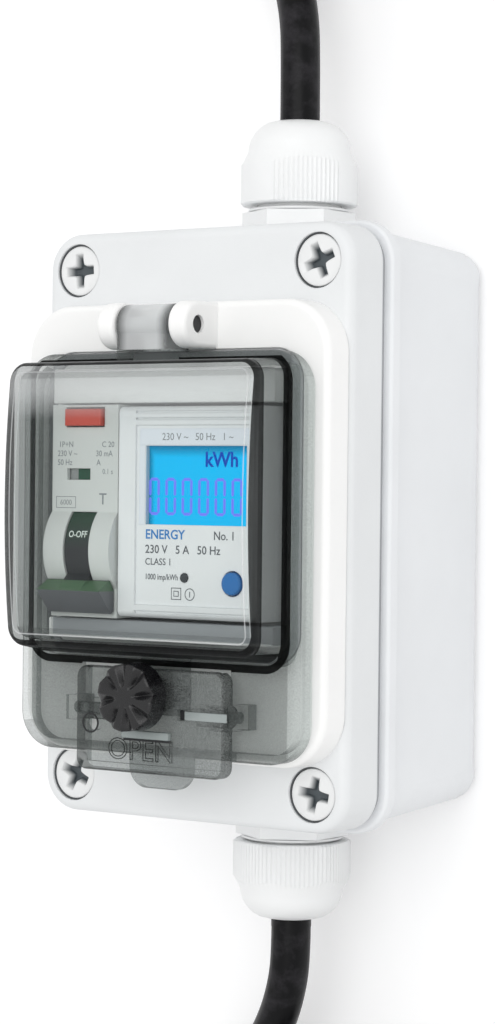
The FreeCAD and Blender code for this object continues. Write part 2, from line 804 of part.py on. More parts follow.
def breaker_toggle():
    body = rod(drum_r, drum_x0, toggle_y, toggle_z, drum_x1 - drum_x0, V(1, 0, 0))
    body = body.fuse(rod(axle_r, drum_x0 - axle_reach, toggle_y, toggle_z,
                         drum_x1 - drum_x0 + 2 * axle_reach, V(1, 0, 0)))
    pts = [(toggle_y + y, toggle_z + z) for y, z in lever_outline]
    mid = (breaker_x0 + breaker_x1) / 2
    bar = prism(pts, mid - lever_half_x, mid + lever_half_x)
    bar = bar.cut(rod(hump_r + 0.35, mid - 20, toggle_y, toggle_z, 40, V(1, 0, 0)))
    root = [(toggle_y + y, toggle_z + z) for y, z in lever_root]
    root = prism(root, drum_x0 + 0.1, drum_x1 - 0.1)
    return body.fuse(bar).fuse(root)


def test_button():
    body = box(test_x - test_half_x, test_x + test_half_x, test_y - test_half_y, test_y + test_half_y,
               nose_z - 2.5, test_top)
    return body.makeFillet(0.4, edges_at(body, test_top))


def contact_flag():
    x0 = flag_x - flag_half_x - flag_travel + 0.25
    return box(x0, flag_x + flag_half_x + 0.1, flag_y - flag_half_y, flag_y + flag_half_y, flag_z0, flag_z1 - 0.1)


# Energy meter

def meter_case():
    body = device_body(meter_x0, meter_x1, bezel_z0)
    return cut_terminals(body, meter_x0, meter_x1)


def meter_bezel():
    body = box(meter_x0, meter_x1, bezel_y0, bezel_y1, bezel_z0, nose_z + 0.5)
    edge = [e for e in body.Edges if e.BoundBox.ZMin > nose_z and e.BoundBox.YLength < 1e-6]
    body = body.makeFillet(1.4, edge)
    w = 1.5
    body = body.cut(box(meter_x0 + w, meter_x1 - w, bezel_y0 + w, bezel_y1 - w, bezel_z0 - 1, nose_z - 1.6))
    body = body.cut(box(label_x0, label_x1, label_y0, label_y1, nose_z + 0.5 - label_sink, nose_z + 2))
    body = body.cut(box(display_x0, display_x1, display_y0, display_y1, nose_z - 3, nose_z + 2))
    body = body.cut(rod(lamp_r + 0.05, lamp_x, lamp_y, nose_z - 3, 6, V(0, 0, 1)))
    body = body.cut(rod(key_r + button_fit, key_x, key_y, nose_z - 3, 6, V(0, 0, 1)))
    for y in (bezel_y0 + 1.2, bezel_y1 - 1.2, bezel_y1 - 2.6):
        body = body.cut(box(label_x0, label_x1, y - 0.25, y + 0.25, nose_z, nose_z + 2))
    return body


def display_window():
    g = 0.05
    return box(display_x0 + g, display_x1 - g, display_y0 + g, display_y1 - g, nose_z - 1.0, nose_z - 0.1)


def meter_display():
    body = box(display_x0 - 0.8, display_x1 + 0.6, display_y0 - 0.8, display_y1 + 0.8, nose_z - 4.4, nose_z - 1.7)
    return body.fuse(box(display_x0 + 0.1, display_x1 - 0.1, display_y0 + 0.1, display_y1 - 0.1,
                         nose_z - 2, nose_z - 1.05))


def meter_board():
    return box(meter_x0 + 2, meter_x1 - 2, bezel_y0 + 2, bezel_y1 - 2, nose_z - 6.0, nose_z - 4.45)


def pulse_lamp():
    body = rod(lamp_r, lamp_x, lamp_y, nose_z - 4.4, 4.7, V(0, 0, 1))
    return body.fuse(rod(1.5, lamp_x, lamp_y, nose_z - 4.4, 1.2, V(0, 0, 1)))


def meter_key():
    body = rod(key_r, key_x, key_y, nose_z - 3.2, key_top - nose_z + 3.2, V(0, 0, 1))
    body = body.makeFillet(0.5, edges_at(body, key_top))
    return body.fuse(rod(key_r + 0.6, key_x, key_y, nose_z - 3.2, 0.6, V(0, 0, 1)))


# Earth terminal and the wires inside

def earth_spots():
    y = (earth_y0 + earth_y1) / 2
    step = (earth_x1 - earth_x0) / 4
    return ((earth_x0 + step, y), (earth_x1 - step, y))


def earth_block():
    body = box(earth_x0, earth_x1, earth_y0, earth_y1, case_floor, earth_top)
    for x, y in earth_spots():
        body = body.cut(rod(earth_hole_r, x, y, earth_top - 4, 5, V(0, 0, 1)))
    return body


def earth_screws():
    out = []
    for x, y in earth_spots():
        head = rod(earth_screw_r, x, y, earth_top - 4, 4.5, V(0, 0, 1))
        out.append(head.cut(box(x - 2, x + 2, y - 0.3, y + 0.3, earth_top - 0.5, earth_top + 2)))
    return out


# Straight runs joined by tangent arcs

def route_wire(points, share=0.45):
    pts = [V(*p) for p in points]
    edges = []
    radii = []
    here = pts[0]
    for i in range(1, len(pts) - 1):
        into = pts[i] - pts[i - 1]
        out = pts[i + 1] - pts[i]
        short = min(into.Length, out.Length)
        into.normalize()
        out.normalize()
        turn = into.getAngle(out)
        back = share * short
        radius = back / math.tan(turn / 2)
        radii.append(radius)
        a = pts[i] - into * back
        b = pts[i] + out * back
        inward = out - into
        inward.normalize()
        m = pts[i] + inward * (radius / math.cos(turn / 2) - radius)
        edges.append(Part.makeLine(here, a))
        edges.append(Part.Arc(a, m, b).toShape())
        here = b
    edges.append(Part.makeLine(here, pts[-1]))
    return Part.Wire(edges), radii


def tube(wire, r):
    start = wire.Edges[0].valueAt(wire.Edges[0].FirstParameter)
    heading = wire.Edges[0].tangentAt(wire.Edges[0].FirstParameter)
    ring_wire = Part.Wire(Part.makeCircle(r, start, heading))
    return wire.makePipeShell([ring_wire], True, False)


def wire_set(routes, r):
    out = []
    for pts in routes:
        out.append(tube(route_wire(pts)[0], r))
    return out


def ways(x0, x1):
    return sorted(set(x for x, y in terminal_spots(x0, x1)))


def line_wires():
    inlet = ways(breaker_x0, breaker_x1)[0]
    first, second = ways(meter_x0, meter_x1)[:2]
    up = device_top + 3.9
    low = device_low - 4.2
    return wire_set((
        ((-core_out, tail_y0, core_high), (-core_out, up, core_high), (inlet, up, entry_z),
         (inlet, device_top, entry_z)),
        ((inlet, device_low, entry_z), (inlet, low, entry_z), (first, low, entry_z), (first, device_low, entry_z)),
        ((second, device_low, entry_z), (second, low, entry_z), (-core_out, low - 4, core_high),
         (-core_out, -tail_y0, core_high))), core_r)


def neutral_wires():
    inlet = ways(breaker_x0, breaker_x1)[1]
    third, fourth = ways(meter_x0, meter_x1)[2:]
    up = device_top + 3.9
    low = device_low - 4.2
    high = entry_z + entry_step
    return wire_set((
        ((core_out, tail_y0, core_high), (core_out, up, core_high), (inlet, up, high), (inlet, device_top, high)),
        ((inlet, device_low, high), (inlet, low - 4, high), (third, low - 4, high), (third, device_low, high)),
        ((fourth, device_low, entry_z), (fourth, low, entry_z), (core_out, low - 4, core_high),
         (core_out, -tail_y0, core_high))), core_r)


def earth_wires():
    y = (earth_y0 + earth_y1) / 2
    z = earth_top - 4.5
    up = device_top + 3.85
    return wire_set((
        ((0, -tail_y0, core_low), (0, y - 1.6, core_low), (earth_x1 + 6.5, y, z), (earth_x1, y, z)),
        ((0, tail_y0, core_low), (0, up, core_low), (side_run_x + 10.2, up + 0.5, core_low),
         (side_run_x, up - 5.3, core_low), (side_run_x, device_low + 4, core_low),
         (side_run_x + 7.5, y, core_low - 4), (earth_x0 - 5, y, z), (earth_x0, y, z))), core_r)


# Glands

def gland_body(s):
    y = gland_face + washer_t
    body = hexagon(hex_flats, y, hex_len, gland_z)
    body = body.fuse(rod(neck_r, 0, y, gland_z, 14, V(0, 1, 0)))
    body = body.fuse(rod(barrel_r, 0, barrel_y0, gland_z, y - barrel_y0, V(0, 1, 0)))
    body = body.cut(rod(cable_r + 0.3, 0, 40, gland_z, 60, V(0, 1, 0)))
    body = body.cut(rod(seal_ring_r, 0, seal_y0, gland_z, 30, V(0, 1, 0)))
    return turned(body, s)


def turned(body, s):
    if s < 0:
        body = body.mirror(V(0, 0, 0), V(0, 1, 0))
    return body


def gland_seal(s):
    body = ring(seal_ring_r - 0.05, cable_r + 0.03, 0, seal_y0 + 0.1, gland_z, seal_len, V(0, 1, 0))
    return turned(body, s)


def gland_washer(s):
    return turned(ring(washer_r, barrel_r + 0.1, 0, gland_face, gland_z, washer_t, V(0, 1, 0)), s)


def gland_locknut(s):
    body = hexagon(nut_flats, gland_inner - nut_len, nut_len, gland_z)
    body = body.cut(rod(barrel_r + 0.05, 0, 40, gland_z, 30, V(0, 1, 0)))
    return turned(body, s)


def gland_cap(s):
    grip = rod(cap_r, 0, cap_y0, gland_z, cap_y1 - cap_y0, V(0, 1, 0))
    sides = hexagon(2 * cap_flat, cap_y0, cap_y1 - cap_y0, gland_z)
    grip = grip.common(sides)
    pts = [V(0, cap_y1, 0), V(cap_shoulder_r, cap_y1, 0)]
    rise = cap_y2 - cap_y1
    bend = V(cap_shoulder_r - 0.9, cap_y1 + 0.62 * rise, 0)
    dome_edge = Part.Arc(V(cap_shoulder_r, cap_y1, 0), bend, V(cap_mouth_r, cap_y2, 0)).toShape()
    wire = Part.Wire([Part.makeLine(pts[0], pts[1]), dome_edge,
                      Part.makeLine(V(cap_mouth_r, cap_y2, 0), V(0, cap_y2, 0)),
                      Part.makeLine(V(0, cap_y2, 0), pts[0])])
    dome = Part.Face(wire).revolve(V(0, 0, 0), V(0, 1, 0), 360)
    dome.translate(V(0, 0, gland_z))
    body = grip.fuse(dome)
    body = body.cut(rod(neck_r + 0.15, 0, cap_y0 - 1, gland_z, 8, V(0, 1, 0)))
    body = body.cut(rod(seal_ring_r + 0.6, 0, cap_y0, gland_z, seal_y0 + seal_len + 0.3 - cap_y0, V(0, 1, 0)))
    body = body.cut(rod(cap_bore, 0, cap_y0, gland_z, 30, V(0, 1, 0)))
    return turned(body, s)


def cable_tail(s):
    return turned(rod(cable_r, 0, tail_y0, gland_z, tail_y1 - tail_y0, V(0, 1, 0)), s)


# Put away hanks of the two leads

def arc_from(a, heading, b):
    chord = b - a
    half = chord.Length / 2
    unit = V(chord).normalize()
    along = heading.dot(unit)
    side = heading - unit * along
    if side.Length < 1e-7:
        return Part.makeLine(a, b)
    side.normalize()
    angle = math.acos(max(-1.0, min(1.0, along)))
    mid = (a + b) * 0.5 + side * (half * math.tan(angle / 2))
    return Part.Arc(a, mid, b).toShape()


def biarc(a, ta, b, tb):
    v = b - a
    t = ta + tb
    k = 2 * (1 - ta.dot(tb))
    vt = v.dot(t)
    if k < 1e-9:
        d = v.Length * v.Length / (4 * v.dot(tb))
    else:
        d = (-vt + math.sqrt(vt * vt + k * v.dot(v))) / k
    mid = (a + b + (ta - tb) * d) * 0.5
    back = arc_from(b, tb * -1, mid)
    return [arc_from(a, ta, mid), back]


def hank_spots(start, run, end_x, end_z):
    way = 1 if start[1] > 0 else -1
    near = start[1]
    far = near + way * run
    left = hank_x - hank_half
    inner = left + hank_step
    right = hank_x + hank_half
    last = right - hank_step / 2
    out = V(0, way, 0)
    back = V(0, -way, 0)
    across = V(1, 0, 0)
    r = (right - inner) / 2
    far_in = far + way * hank_step / 2
    far_top = far + way * hank_step * 3 / 4
    z = start[2]
    spots = [(V(left, near, z), out), (V(left, far, z), out)]
    spots += [(V(hank_x, far + way * hank_half, z), across), (V(right, far, z), back)]
    spots += [(V(right, near, z), back), (V(right - r, near - way * r, z), across * -1)]
    spots += [(V(inner, near, z), out), (V(inner, near + way * run / 2, z), out)]
    z = z + hank_step
    spots += [(V(inner, far_in, z), out), (V(right - r, far_in + way * r, z), across), (V(right, far_in, z), back)]
    spots += [(V(right, near, z), back), (V(right - r, near - way * r, z), across * -1)]
    spots += [(V(inner, near, z), out), (V(inner, near + way * run * 3 / 8, z), out)]
    z = z + hank_step
    r_last = (last - inner) / 2
    spots += [(V(inner, far, z), out), (V(inner, far_top, z), out), (V(last - r_last, far_top + way * r_last, z), across)]
    corner = V(last, far_top, z)
    spots.append((corner, back))
    aside = V(end_x, far_top, end_z) - corner
    shift = aside.Length
    aside.normalize()
    turn = math.acos(1 - shift / (r_last + hank_bend))
    half = corner + aside * (r_last * (1 - math.cos(turn))) + back * (r_last * math.sin(turn))
    spots.append((half, aside * math.sin(turn) + back * math.cos(turn)))
    end = corner + aside * shift + back * ((r_last + hank_bend) * math.sin(turn))
    spots += [(end, back), (end + back * (2 * cable_r), back)]
    return spots


def hank_wire(spots):
    edges = []
    for (a, ta), (b, tb) in zip(spots, spots[1:]):
        straight = (b - a).normalize()
        if straight.dot(ta) > 1 - 1e-9 and straight.dot(tb) > 1 - 1e-9:
            edges.append(Part.makeLine(a, b))
        else:
            edges.extend(biarc(a, ta, b, tb))
    return Part.Wire(Part.__sortEdges__(edges))


def least_gap(wire, r):
    pts = wire.discretize(Distance=3.0)
    step = wire.Length / (len(pts) - 1)
    skip = int(6 * r / step) + 1
    best = 1e9
    for i in range(0, len(pts)):
        for j in range(i + skip, len(pts)):
            d = pts[i].distanceToPoint(pts[j])
            if d < best:
                best = d
    return best - 2 * r


def supply_hank():
    return hank_spots(supply_route[-1], supply_run, plug_cord_x, plug_cord_z)


def outlet_hank():
    return hank_spots(outlet_route[-1], outlet_run, coupling_cord_x, coupling_cord_z)


def cord_end(spots):
    return spots[-1]


def hank_tie(start, run):
    way = 1 if start[1] > 0 else -1
    y = start[1] + way * run / 4
    left = hank_x - hank_half
    inner = left + hank_step
    z = start[2]
    rows = [V(left, y, z), V(inner, y, z), V(inner, y, z + hank_step)]
    core = Part.makePolygon(rows + rows[:1])
    outer = Part.Face(core.makeOffset2D(cable_r + tie_gap + tie_t))
    inside = Part.Face(core.makeOffset2D(cable_r + tie_gap))
    strap = outer.cut(inside).extrude(V(0, tie_wide, 0))
    strap.translate(V(0, -tie_wide / 2, 0))
    return strap


def relief(end, heading):
    length = relief_len
    cone = Part.makeCone(cable_r + relief_tip, cable_r + relief_root, length, end, heading)
    for k in range(int((length - 8) / 5) + 1):
        spot = end + heading * (4 + 5 * k)
        r = cable_r + relief_tip + (relief_root - relief_tip) * (4 + 5 * k) / length
        groove = ring(r + 2, r - 0.7, spot.x, spot.y, spot.z, 1.8, heading)
        cone = cone.cut(groove)
    return cone


# Angled mains plug lying on its back

def plug_centre():
    end, heading = cord_end(supply_hank())
    return V(end.x, end.y + heading.y * (relief_len + plug_r - 1.5), 0)


def plug_body():
    c = plug_centre()
    body = rod(plug_r, c.x, c.y, 0, plug_h, V(0, 0, 1))
    body = body.makeFillet(3.0, edges_at(body, 0))
    body = body.makeFillet(1.0, edges_at(body, plug_h))
    end, heading = cord_end(supply_hank())
    neck = rod(cable_r + relief_root + 0.6, c.x, c.y, plug_cord_z, plug_r + 4, heading * -1)
    body = body.fuse(neck.common(box(-500, 500, -500, 500, 0.2, 90)))
    for s in (-1, 1):
        root = rod(plug_root_r + 0.02, c.x + s * plug_pin_half, c.y, plug_root_z - 0.1, plug_h, V(0, 0, 1))
        body = body.cut(root)
        notch = box(c.x - 3.2, c.x + 3.2, c.y + s * plug_r - 2.6, c.y + s * plug_r + 2.6, 10, plug_h + 1)
        if s * heading.y > 0:
            body = body.cut(notch)
    return body.cut(relief_space(end, heading))


def relief_space(end, heading):
    return Part.makeCylinder(60, relief_len, end, heading)


def plug_relief():
    end, heading = cord_end(supply_hank())
    return relief(end, heading)


def plug_pins():
    c = plug_centre()
    out = []
    for s in (-1, 1):
        x = c.x + s * plug_pin_half
        pin = rod(plug_pin_r, x, c.y, plug_h, plug_pin_len, V(0, 0, 1))
        pin = pin.makeFillet(1.2, edges_at(pin, plug_h + plug_pin_len))
        out.append(pin.fuse(rod(plug_root_r, x, c.y, plug_root_z, plug_h - plug_root_z, V(0, 0, 1))))
    return out


def plug_earth():
    c = plug_centre()
    end, heading = cord_end(supply_hank())
    y = c.y + heading.y * plug_r
    y0, y1 = sorted((y - heading.y * 2.5, y - heading.y * 0.9))
    return box(c.x - 2.8, c.x + 2.8, y0, y1, 10.1, plug_h - 0.4)


# Coupling socket lying on its side

def coupling_start():
    end, heading = cord_end(outlet_hank())
    return end + heading * relief_len, heading


def coupling_body():
    a, h = coupling_start()
    rear = Part.makeCone(cable_r + relief_root + 1.2, coupling_r, 12, a, h)
    rear = rear.fuse(Part.makeCylinder(coupling_r, coupling_len - 12, a + h * 12, h))
    front = a + h * coupling_len
    edge = [e for e in rear.Edges if abs(e.BoundBox.YMin - front.y) < 1e-3 and abs(e.BoundBox.YMax - front.y) < 1e-3]
    body = rear.makeFillet(1.2, edge)
    body = body.cut(Part.makeCylinder(recess_r, recess_deep, front - h * recess_deep, h))
    for s in (-1, 1):
        spot = front + V(s * plug_pin_half, 0, 0)
        body = body.cut(Part.makeCylinder(socket_hole_r, 23, spot - h * (recess_deep + 22), h))
        body = body.cut(Part.makeCylinder(contact_r + 0.02, 17, spot - h * (recess_deep + 19), h))
        z = front.z + s * recess_r
        z0, z1 = sorted((z - s * 1.6, z + s * 0.9))
        body = body.cut(box(front.x - 2.6, front.x + 2.6, front.y - recess_deep - 2, front.y - 3, z0, z1))
    return body


def coupling_relief():
    end, heading = cord_end(outlet_hank())
    return relief(end, heading)


def coupling_contacts():
    a, h = coupling_start()
    front = a + h * coupling_len
    out = []
    for s in (-1, 1):
        spot = front + V(s * plug_pin_half, 0, 0) - h * (recess_deep + 18.8)
        tube_out = Part.makeCylinder(contact_r, 16.5, spot, h)
        out.append(tube_out.cut(Part.makeCylinder(contact_r - contact_wall, 16.5, spot, h)))
    return out


def coupling_earth():
    a, h = coupling_start()
    front = a + h * coupling_len
    out = []
    for s in (-1, 1):
        z = front.z + s * recess_r
        z0, z1 = sorted((z - s * 0.9, z + s * 0.5))
        out.append(box(front.x - 2.3, front.x + 2.3, front.y - recess_deep - 1.8, front.y - 3.2, z0, z1))
    return out


def save_tube(name, wire, radii, r):
    body = tube(wire, r)
    expect = math.pi * r * r * wire.Length
    print("%s length %.1f  least bend %.1f  volume ratio %.4f" % (
        name, wire.Length, min(radii) if radii else 0, body.Volume / expect))
    save(name, body)


if __name__ == "__main__":
    save("rear_case", rear_case())
    save("cover_gasket", cover_gasket())
    save("front_cover", front_cover())
    save("cover_screws", cover_screws())
    save("cover_frame", cover_frame())
    save("window_seal", window_seal())
    save("hinge_pin", hinge_pin())
    save("window_door", window_door())
    save("latch_tab", latch_tab())
    save("latch_pins", latch_pins())
    save("lock_knob", lock_knob())
    save("knob_stem", knob_stem())
    save("mounting_rail", mounting_rail())
    save("rail_screws", rail_screws())
    save("breaker_case", breaker_case())
    save("breaker_toggle", breaker_toggle())
    save("test_button", test_button())
    save("contact_flag", contact_flag())
    save("breaker_clip", rail_clip(breaker_x0, breaker_x1))
    save("breaker_terminals", terminal_screws(breaker_x0, breaker_x1))
    save("meter_case", meter_case())
    save("meter_bezel", meter_bezel())
    save("display_window", display_window())
    save("meter_display", meter_display())
    save("meter_board", meter_board())
    save("pulse_lamp", pulse_lamp())
    save("meter_key", meter_key())
    save("meter_clip", rail_clip(meter_x0, meter_x1))
    save("meter_terminals", terminal_screws(meter_x0, meter_x1))
    save("earth_block", earth_block())
    save("earth_screws", earth_screws())
    save("line_wires", line_wires())
    save("neutral_wires", neutral_wires())
    save("earth_wires", earth_wires())
    save("supply_gland_body", gland_body(1))
    save("outlet_gland_body", gland_body(-1))
    save("supply_gland_cap", gland_cap(1))
    save("outlet_gland_cap", gland_cap(-1))
    save("gland_seals", [gland_seal(1), gland_seal(-1)])
    save("gland_washers", [gland_washer(1), gland_washer(-1)])
    save("gland_locknuts", [gland_locknut(1), gland_locknut(-1)])
    save("supply_tail", cable_tail(1))
    save("outlet_tail", cable_tail(-1))
    for name, route in (("supply_lead", supply_route), ("outlet_lead", outlet_route)):
        wire, radii = route_wire(route)
        print([round(v, 1) for v in radii])
        save_tube(name, wire, radii, cable_r)
    for name, spots in (("supply_hank", supply_hank()), ("outlet_hank", outlet_hank())):
        wire = hank_wire(spots)
        radii = [e.Curve.Radius for e in wire.Edges if hasattr(e.Curve, "Radius")]
        save_tube(name, wire, radii, cable_r)
        print("%s own least gap %.2f" % (name, least_gap(wire, cable_r)))
    save("supply_tie", hank_tie(supply_route[-1], supply_run))
    save("outlet_tie", hank_tie(outlet_route[-1], outlet_run))
    save("plug_body", plug_body())
    save("plug_relief", plug_relief())
    save("plug_pins", plug_pins())
    save("plug_earth", plug_earth())
    save("coupling_body", coupling_body())
    save("coupling_relief", coupling_relief())
    save("coupling_contacts", coupling_contacts())
    save("coupling_earth", coupling_earth())
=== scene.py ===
import bpy
import bmesh
import json
import math
from mathutils import Matrix, Vector


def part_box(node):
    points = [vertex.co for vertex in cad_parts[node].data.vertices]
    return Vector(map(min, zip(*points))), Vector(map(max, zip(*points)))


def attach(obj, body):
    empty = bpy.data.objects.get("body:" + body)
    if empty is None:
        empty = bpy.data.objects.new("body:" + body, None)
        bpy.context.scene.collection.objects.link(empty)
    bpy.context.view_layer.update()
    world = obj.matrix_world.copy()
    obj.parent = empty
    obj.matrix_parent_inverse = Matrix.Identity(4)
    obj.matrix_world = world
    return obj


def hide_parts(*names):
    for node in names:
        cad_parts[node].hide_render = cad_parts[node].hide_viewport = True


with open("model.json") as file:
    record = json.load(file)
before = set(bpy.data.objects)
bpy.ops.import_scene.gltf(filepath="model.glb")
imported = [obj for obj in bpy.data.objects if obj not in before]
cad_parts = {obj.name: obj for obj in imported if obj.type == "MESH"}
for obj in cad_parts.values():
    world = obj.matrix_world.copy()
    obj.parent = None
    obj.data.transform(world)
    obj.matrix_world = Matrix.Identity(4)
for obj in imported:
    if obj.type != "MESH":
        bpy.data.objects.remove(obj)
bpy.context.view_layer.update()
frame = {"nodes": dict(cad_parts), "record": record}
nodes = frame["nodes"]
mm = 0.001

# The box lies on its back: +X across the window, +Y to the supply gland, +Z out of the window.


# Small helpers

def srgb(r, g, b):
    out = []
    for v in (r / 255, g / 255, b / 255):
        out.append(v / 12.92 if v <= 0.04045 else ((v + 0.055) / 1.055) ** 2.4)
    return (*out, 1.0)


def addObject(name, data, body=None):
    obj = bpy.data.objects.new(name, data)
    bpy.context.scene.collection.objects.link(obj)
    if body:
        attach(obj, body)
    return obj


sharpFrom = math.radians(32)   # edges between faces at this angle or more stay sharp


def addPiece(name, bm, look, body="enclosure", smooth=True):
    mesh = bpy.data.meshes.new(name)
    bm.to_mesh(mesh)
    bm.free()
    mesh.materials.append(look)
    if smooth:
        mesh.shade_smooth()
        mesh.set_sharp_from_angle(angle=sharpFrom)
    return addObject(name, mesh, body)


def addPart(bm, part):
    # lays a second mesh into the first
    mesh = bpy.data.meshes.new("looseMesh")
    part.to_mesh(mesh)
    part.free()
    bm.from_mesh(mesh)
    bpy.data.meshes.remove(mesh)


def closeUp(bm, gap=1e-6):
    bmesh.ops.remove_doubles(bm, verts=bm.verts, dist=gap)
    bmesh.ops.recalc_face_normals(bm, faces=bm.faces)


def mirrorY(bm):
    bmesh.ops.scale(bm, vec=(1, -1, 1), verts=bm.verts)
    bmesh.ops.recalc_face_normals(bm, faces=bm.faces)


def addBlock(bm, xs, ys, zs, bevel=0.0):
    # xs, ys and zs: from and to, in millimetres
    low, high = [Vector(corner) * mm for corner in zip(xs, ys, zs)]
    made = bmesh.ops.create_cube(bm, size=1.0)["verts"]
    bmesh.ops.scale(bm, vec=high - low, verts=made)
    bmesh.ops.translate(bm, vec=(low + high) / 2, verts=made)
    if bevel:
        edges = list({e for v in made for e in v.link_edges})
        bmesh.ops.bevel(bm, geom=edges, offset=bevel * mm, segments=2, affect="EDGES", profile=0.5, material=-1)
    return made


def addSpun(bm, profile, axis, steps=96):
    # profile: a closed row of (distance from the axis, place along it), turned round +Y or +Z
    verts = [bm.verts.new(Vector((r, h, 0) if axis == "Y" else (r, 0, h)) * mm) for r, h in profile]
    pairs = list(zip(verts, verts[1:] + verts[:1]))
    if profile[0][0] == 0 and profile[-1][0] == 0:
        pairs.pop()   # both ends lie on the axis
    edges = [bm.edges.new(pair) for pair in pairs]
    line = (0, 1, 0) if axis == "Y" else (0, 0, 1)
    bmesh.ops.spin(bm, geom=verts + edges, cent=(0, 0, 0), axis=line, angle=2 * math.pi, steps=steps,
                   use_merge=True)
    closeUp(bm)


def moveBy(bm, x, y, z):
    bmesh.ops.translate(bm, vec=Vector((x, y, z)) * mm, verts=bm.verts)


def addLetters(name, words, size, place, look, body, shape, width=1.0, turn=None):
    # size and place in millimetres; place is the foot of the first letter, or the middle of the line
    data = bpy.data.curves.new(name, "FONT")
    data.body = words
    data.size = size * mm
    for key, value in shape.items():
        setattr(data, key, value)
    line = addObject(name + "Line", data)
    bpy.context.view_layer.update()
    mesh = bpy.data.meshes.new_from_object(line.evaluated_get(bpy.context.evaluated_depsgraph_get()))
    bpy.data.objects.remove(line)
    bpy.data.curves.remove(data)
    mesh.transform(Matrix.Diagonal((width, 1, 1, 1)))
    if turn:
        mesh.transform(turn)
    mesh.transform(Matrix.Translation(Vector(place) * mm))
    mesh.materials.clear()
    mesh.materials.append(look)
    addObject(name, mesh, body)


printThick = 0.015


def addWords(name, words, size, place, look, width=1.0, bold=0.0, align="LEFT", turn=None, body="enclosure"):
    shape = {"extrude": printThick * mm, "offset": bold * mm, "align_x": align, "resolution_u": 3}
    addLetters(name, words, size, place, look, body, shape, width, turn)


# Camera

cameraSettings = {
    "place": (0.3467, 0.0090, 0.5258),
    "right": (0.81463, 0.01096, -0.57986),
    "up": (-0.01502, 0.99988, -0.00221),
    "back": (0.57977, 0.01051, 0.81471),
    "lens": 96.36, "sensor": 36.0, "near": 0.01,
}


def addCamera(s):
    data = bpy.data.cameras.new("photoCamera")
    data.sensor_width = s["sensor"]
    data.lens = s["lens"]
    data.clip_start = s["near"]
    cam = addObject("photoCamera", data)
    turn = Matrix((s["right"], s["up"], s["back"])).transposed()
    cam.matrix_world = Matrix.Translation(s["place"]) @ turn.to_4x4()
    bpy.context.scene.camera = cam


addCamera(cameraSettings)
print("camera placed")


# Materials

def startLook(name):
    mat = bpy.data.materials.new(name)
    mat.use_nodes = True
    tree = mat.node_tree
    shader = tree.nodes["Principled BSDF"]
    coord = tree.nodes.new("ShaderNodeTexCoord")
    return mat, tree, shader, coord


def feed(node, key, value):
    # a number or a colour is set on the socket, another socket is linked to it
    if isinstance(value, bpy.types.NodeSocket):
        node.id_data.links.new(value, node.inputs[key])
    else:
        node.inputs[key].default_value = value


def addNoise(tree, coord, scale, detail=3.0, roughness=0.5):
    noise = tree.nodes.new("ShaderNodeTexNoise")
    feed(noise, "Vector", coord.outputs["Object"])
    feed(noise, "Scale", scale)
    feed(noise, "Detail", detail)
    feed(noise, "Roughness", roughness)
    return noise.outputs["Fac"]


def addPlace(tree, coord):
    # the object's own x, y and z
    split = tree.nodes.new("ShaderNodeSeparateXYZ")
    feed(split, 0, coord.outputs["Object"])
    return split.outputs[:]


def addRange(tree, source, fromLow, fromHigh, toLow, toHigh):
    node = tree.nodes.new("ShaderNodeMapRange")
    for key, value in (("Value", source), ("From Min", fromLow), ("From Max", fromHigh), ("To Min", toLow),
                       ("To Max", toHigh)):
        feed(node, key, value)
    return node.outputs["Result"]


def addMix(tree, factor, a, b, kind="MIX"):
    mix = tree.nodes.new("ShaderNodeMix")
    mix.data_type = "RGBA"
    mix.blend_type = kind
    feed(mix, "Factor", factor)
    for value, name in ((a, "A"), (b, "B")):
        key = [i for i, v in enumerate(mix.inputs) if v.name == name and v.type == "RGBA"][0]
        feed(mix, key, value)
    return [o for o in mix.outputs if o.type == "RGBA"][0]


def addMaths(tree, kind, a, b=None):
    node = tree.nodes.new("ShaderNodeMath")
    node.operation = kind
    feed(node, 0, a)
    if b is not None:
        feed(node, 1, b)
    return node.outputs[0]


def addSpread(tree, noise, low, high):
    # the middle of a noise, stretched from low to high
    return addRange(tree, noise, 0.3, 0.7, low, high)


def addRough(tree, noise, shader, low, high, middle=0.0):
    feed(shader, "Roughness", addSpread(tree, noise, middle + low, middle + high))


bumpStrength = 0.6


def addBump(tree, heights, shader, edge=0.0):
    # heights: (height socket, depth in metres), laid one on another; edge softens the sharp corners
    last = None
    if edge:
        soft = tree.nodes.new("ShaderNodeBevel")
        soft.samples = 4
        feed(soft, "Radius", edge)
        last = soft.outputs["Normal"]
    for source, depth in heights:
        bump = tree.nodes.new("ShaderNodeBump")
        feed(bump, "Distance", depth)
        feed(bump, "Strength", bumpStrength)
        feed(bump, "Height", source)
        if last:
            feed(bump, "Normal", last)
        last = bump.outputs["Normal"]
    if last:
        feed(shader, "Normal", last)


plasticUsual = {"shine": 0.4, "cloud": 45.0, "grain": 2600.0, "depth": 0.00003, "edge": 0.0003,
                "spread": (-0.06, 0.08)}   # of the roughness


def mouldedPlastic(name, colour, shade, rough, other=None):
    # colours are 0 to 255, cloud and grain per metre, depth and edge in metres
    s = {**plasticUsual, **(other or {})}
    mat, tree, shader, coord = startLook(name)
    cloud = addNoise(tree, coord, s["cloud"], 4.0)
    grain = addNoise(tree, coord, s["grain"], 2.0)
    tone = addMix(tree, addSpread(tree, cloud, 0.0, 1.0), srgb(*colour), srgb(*shade))
    feed(shader, "Base Color", tone)
    addRough(tree, grain, shader, *s["spread"], rough)
    feed(shader, "Specular IOR Level", s["shine"])
    addBump(tree, [(grain, s["depth"])], shader, s["edge"])
    return mat


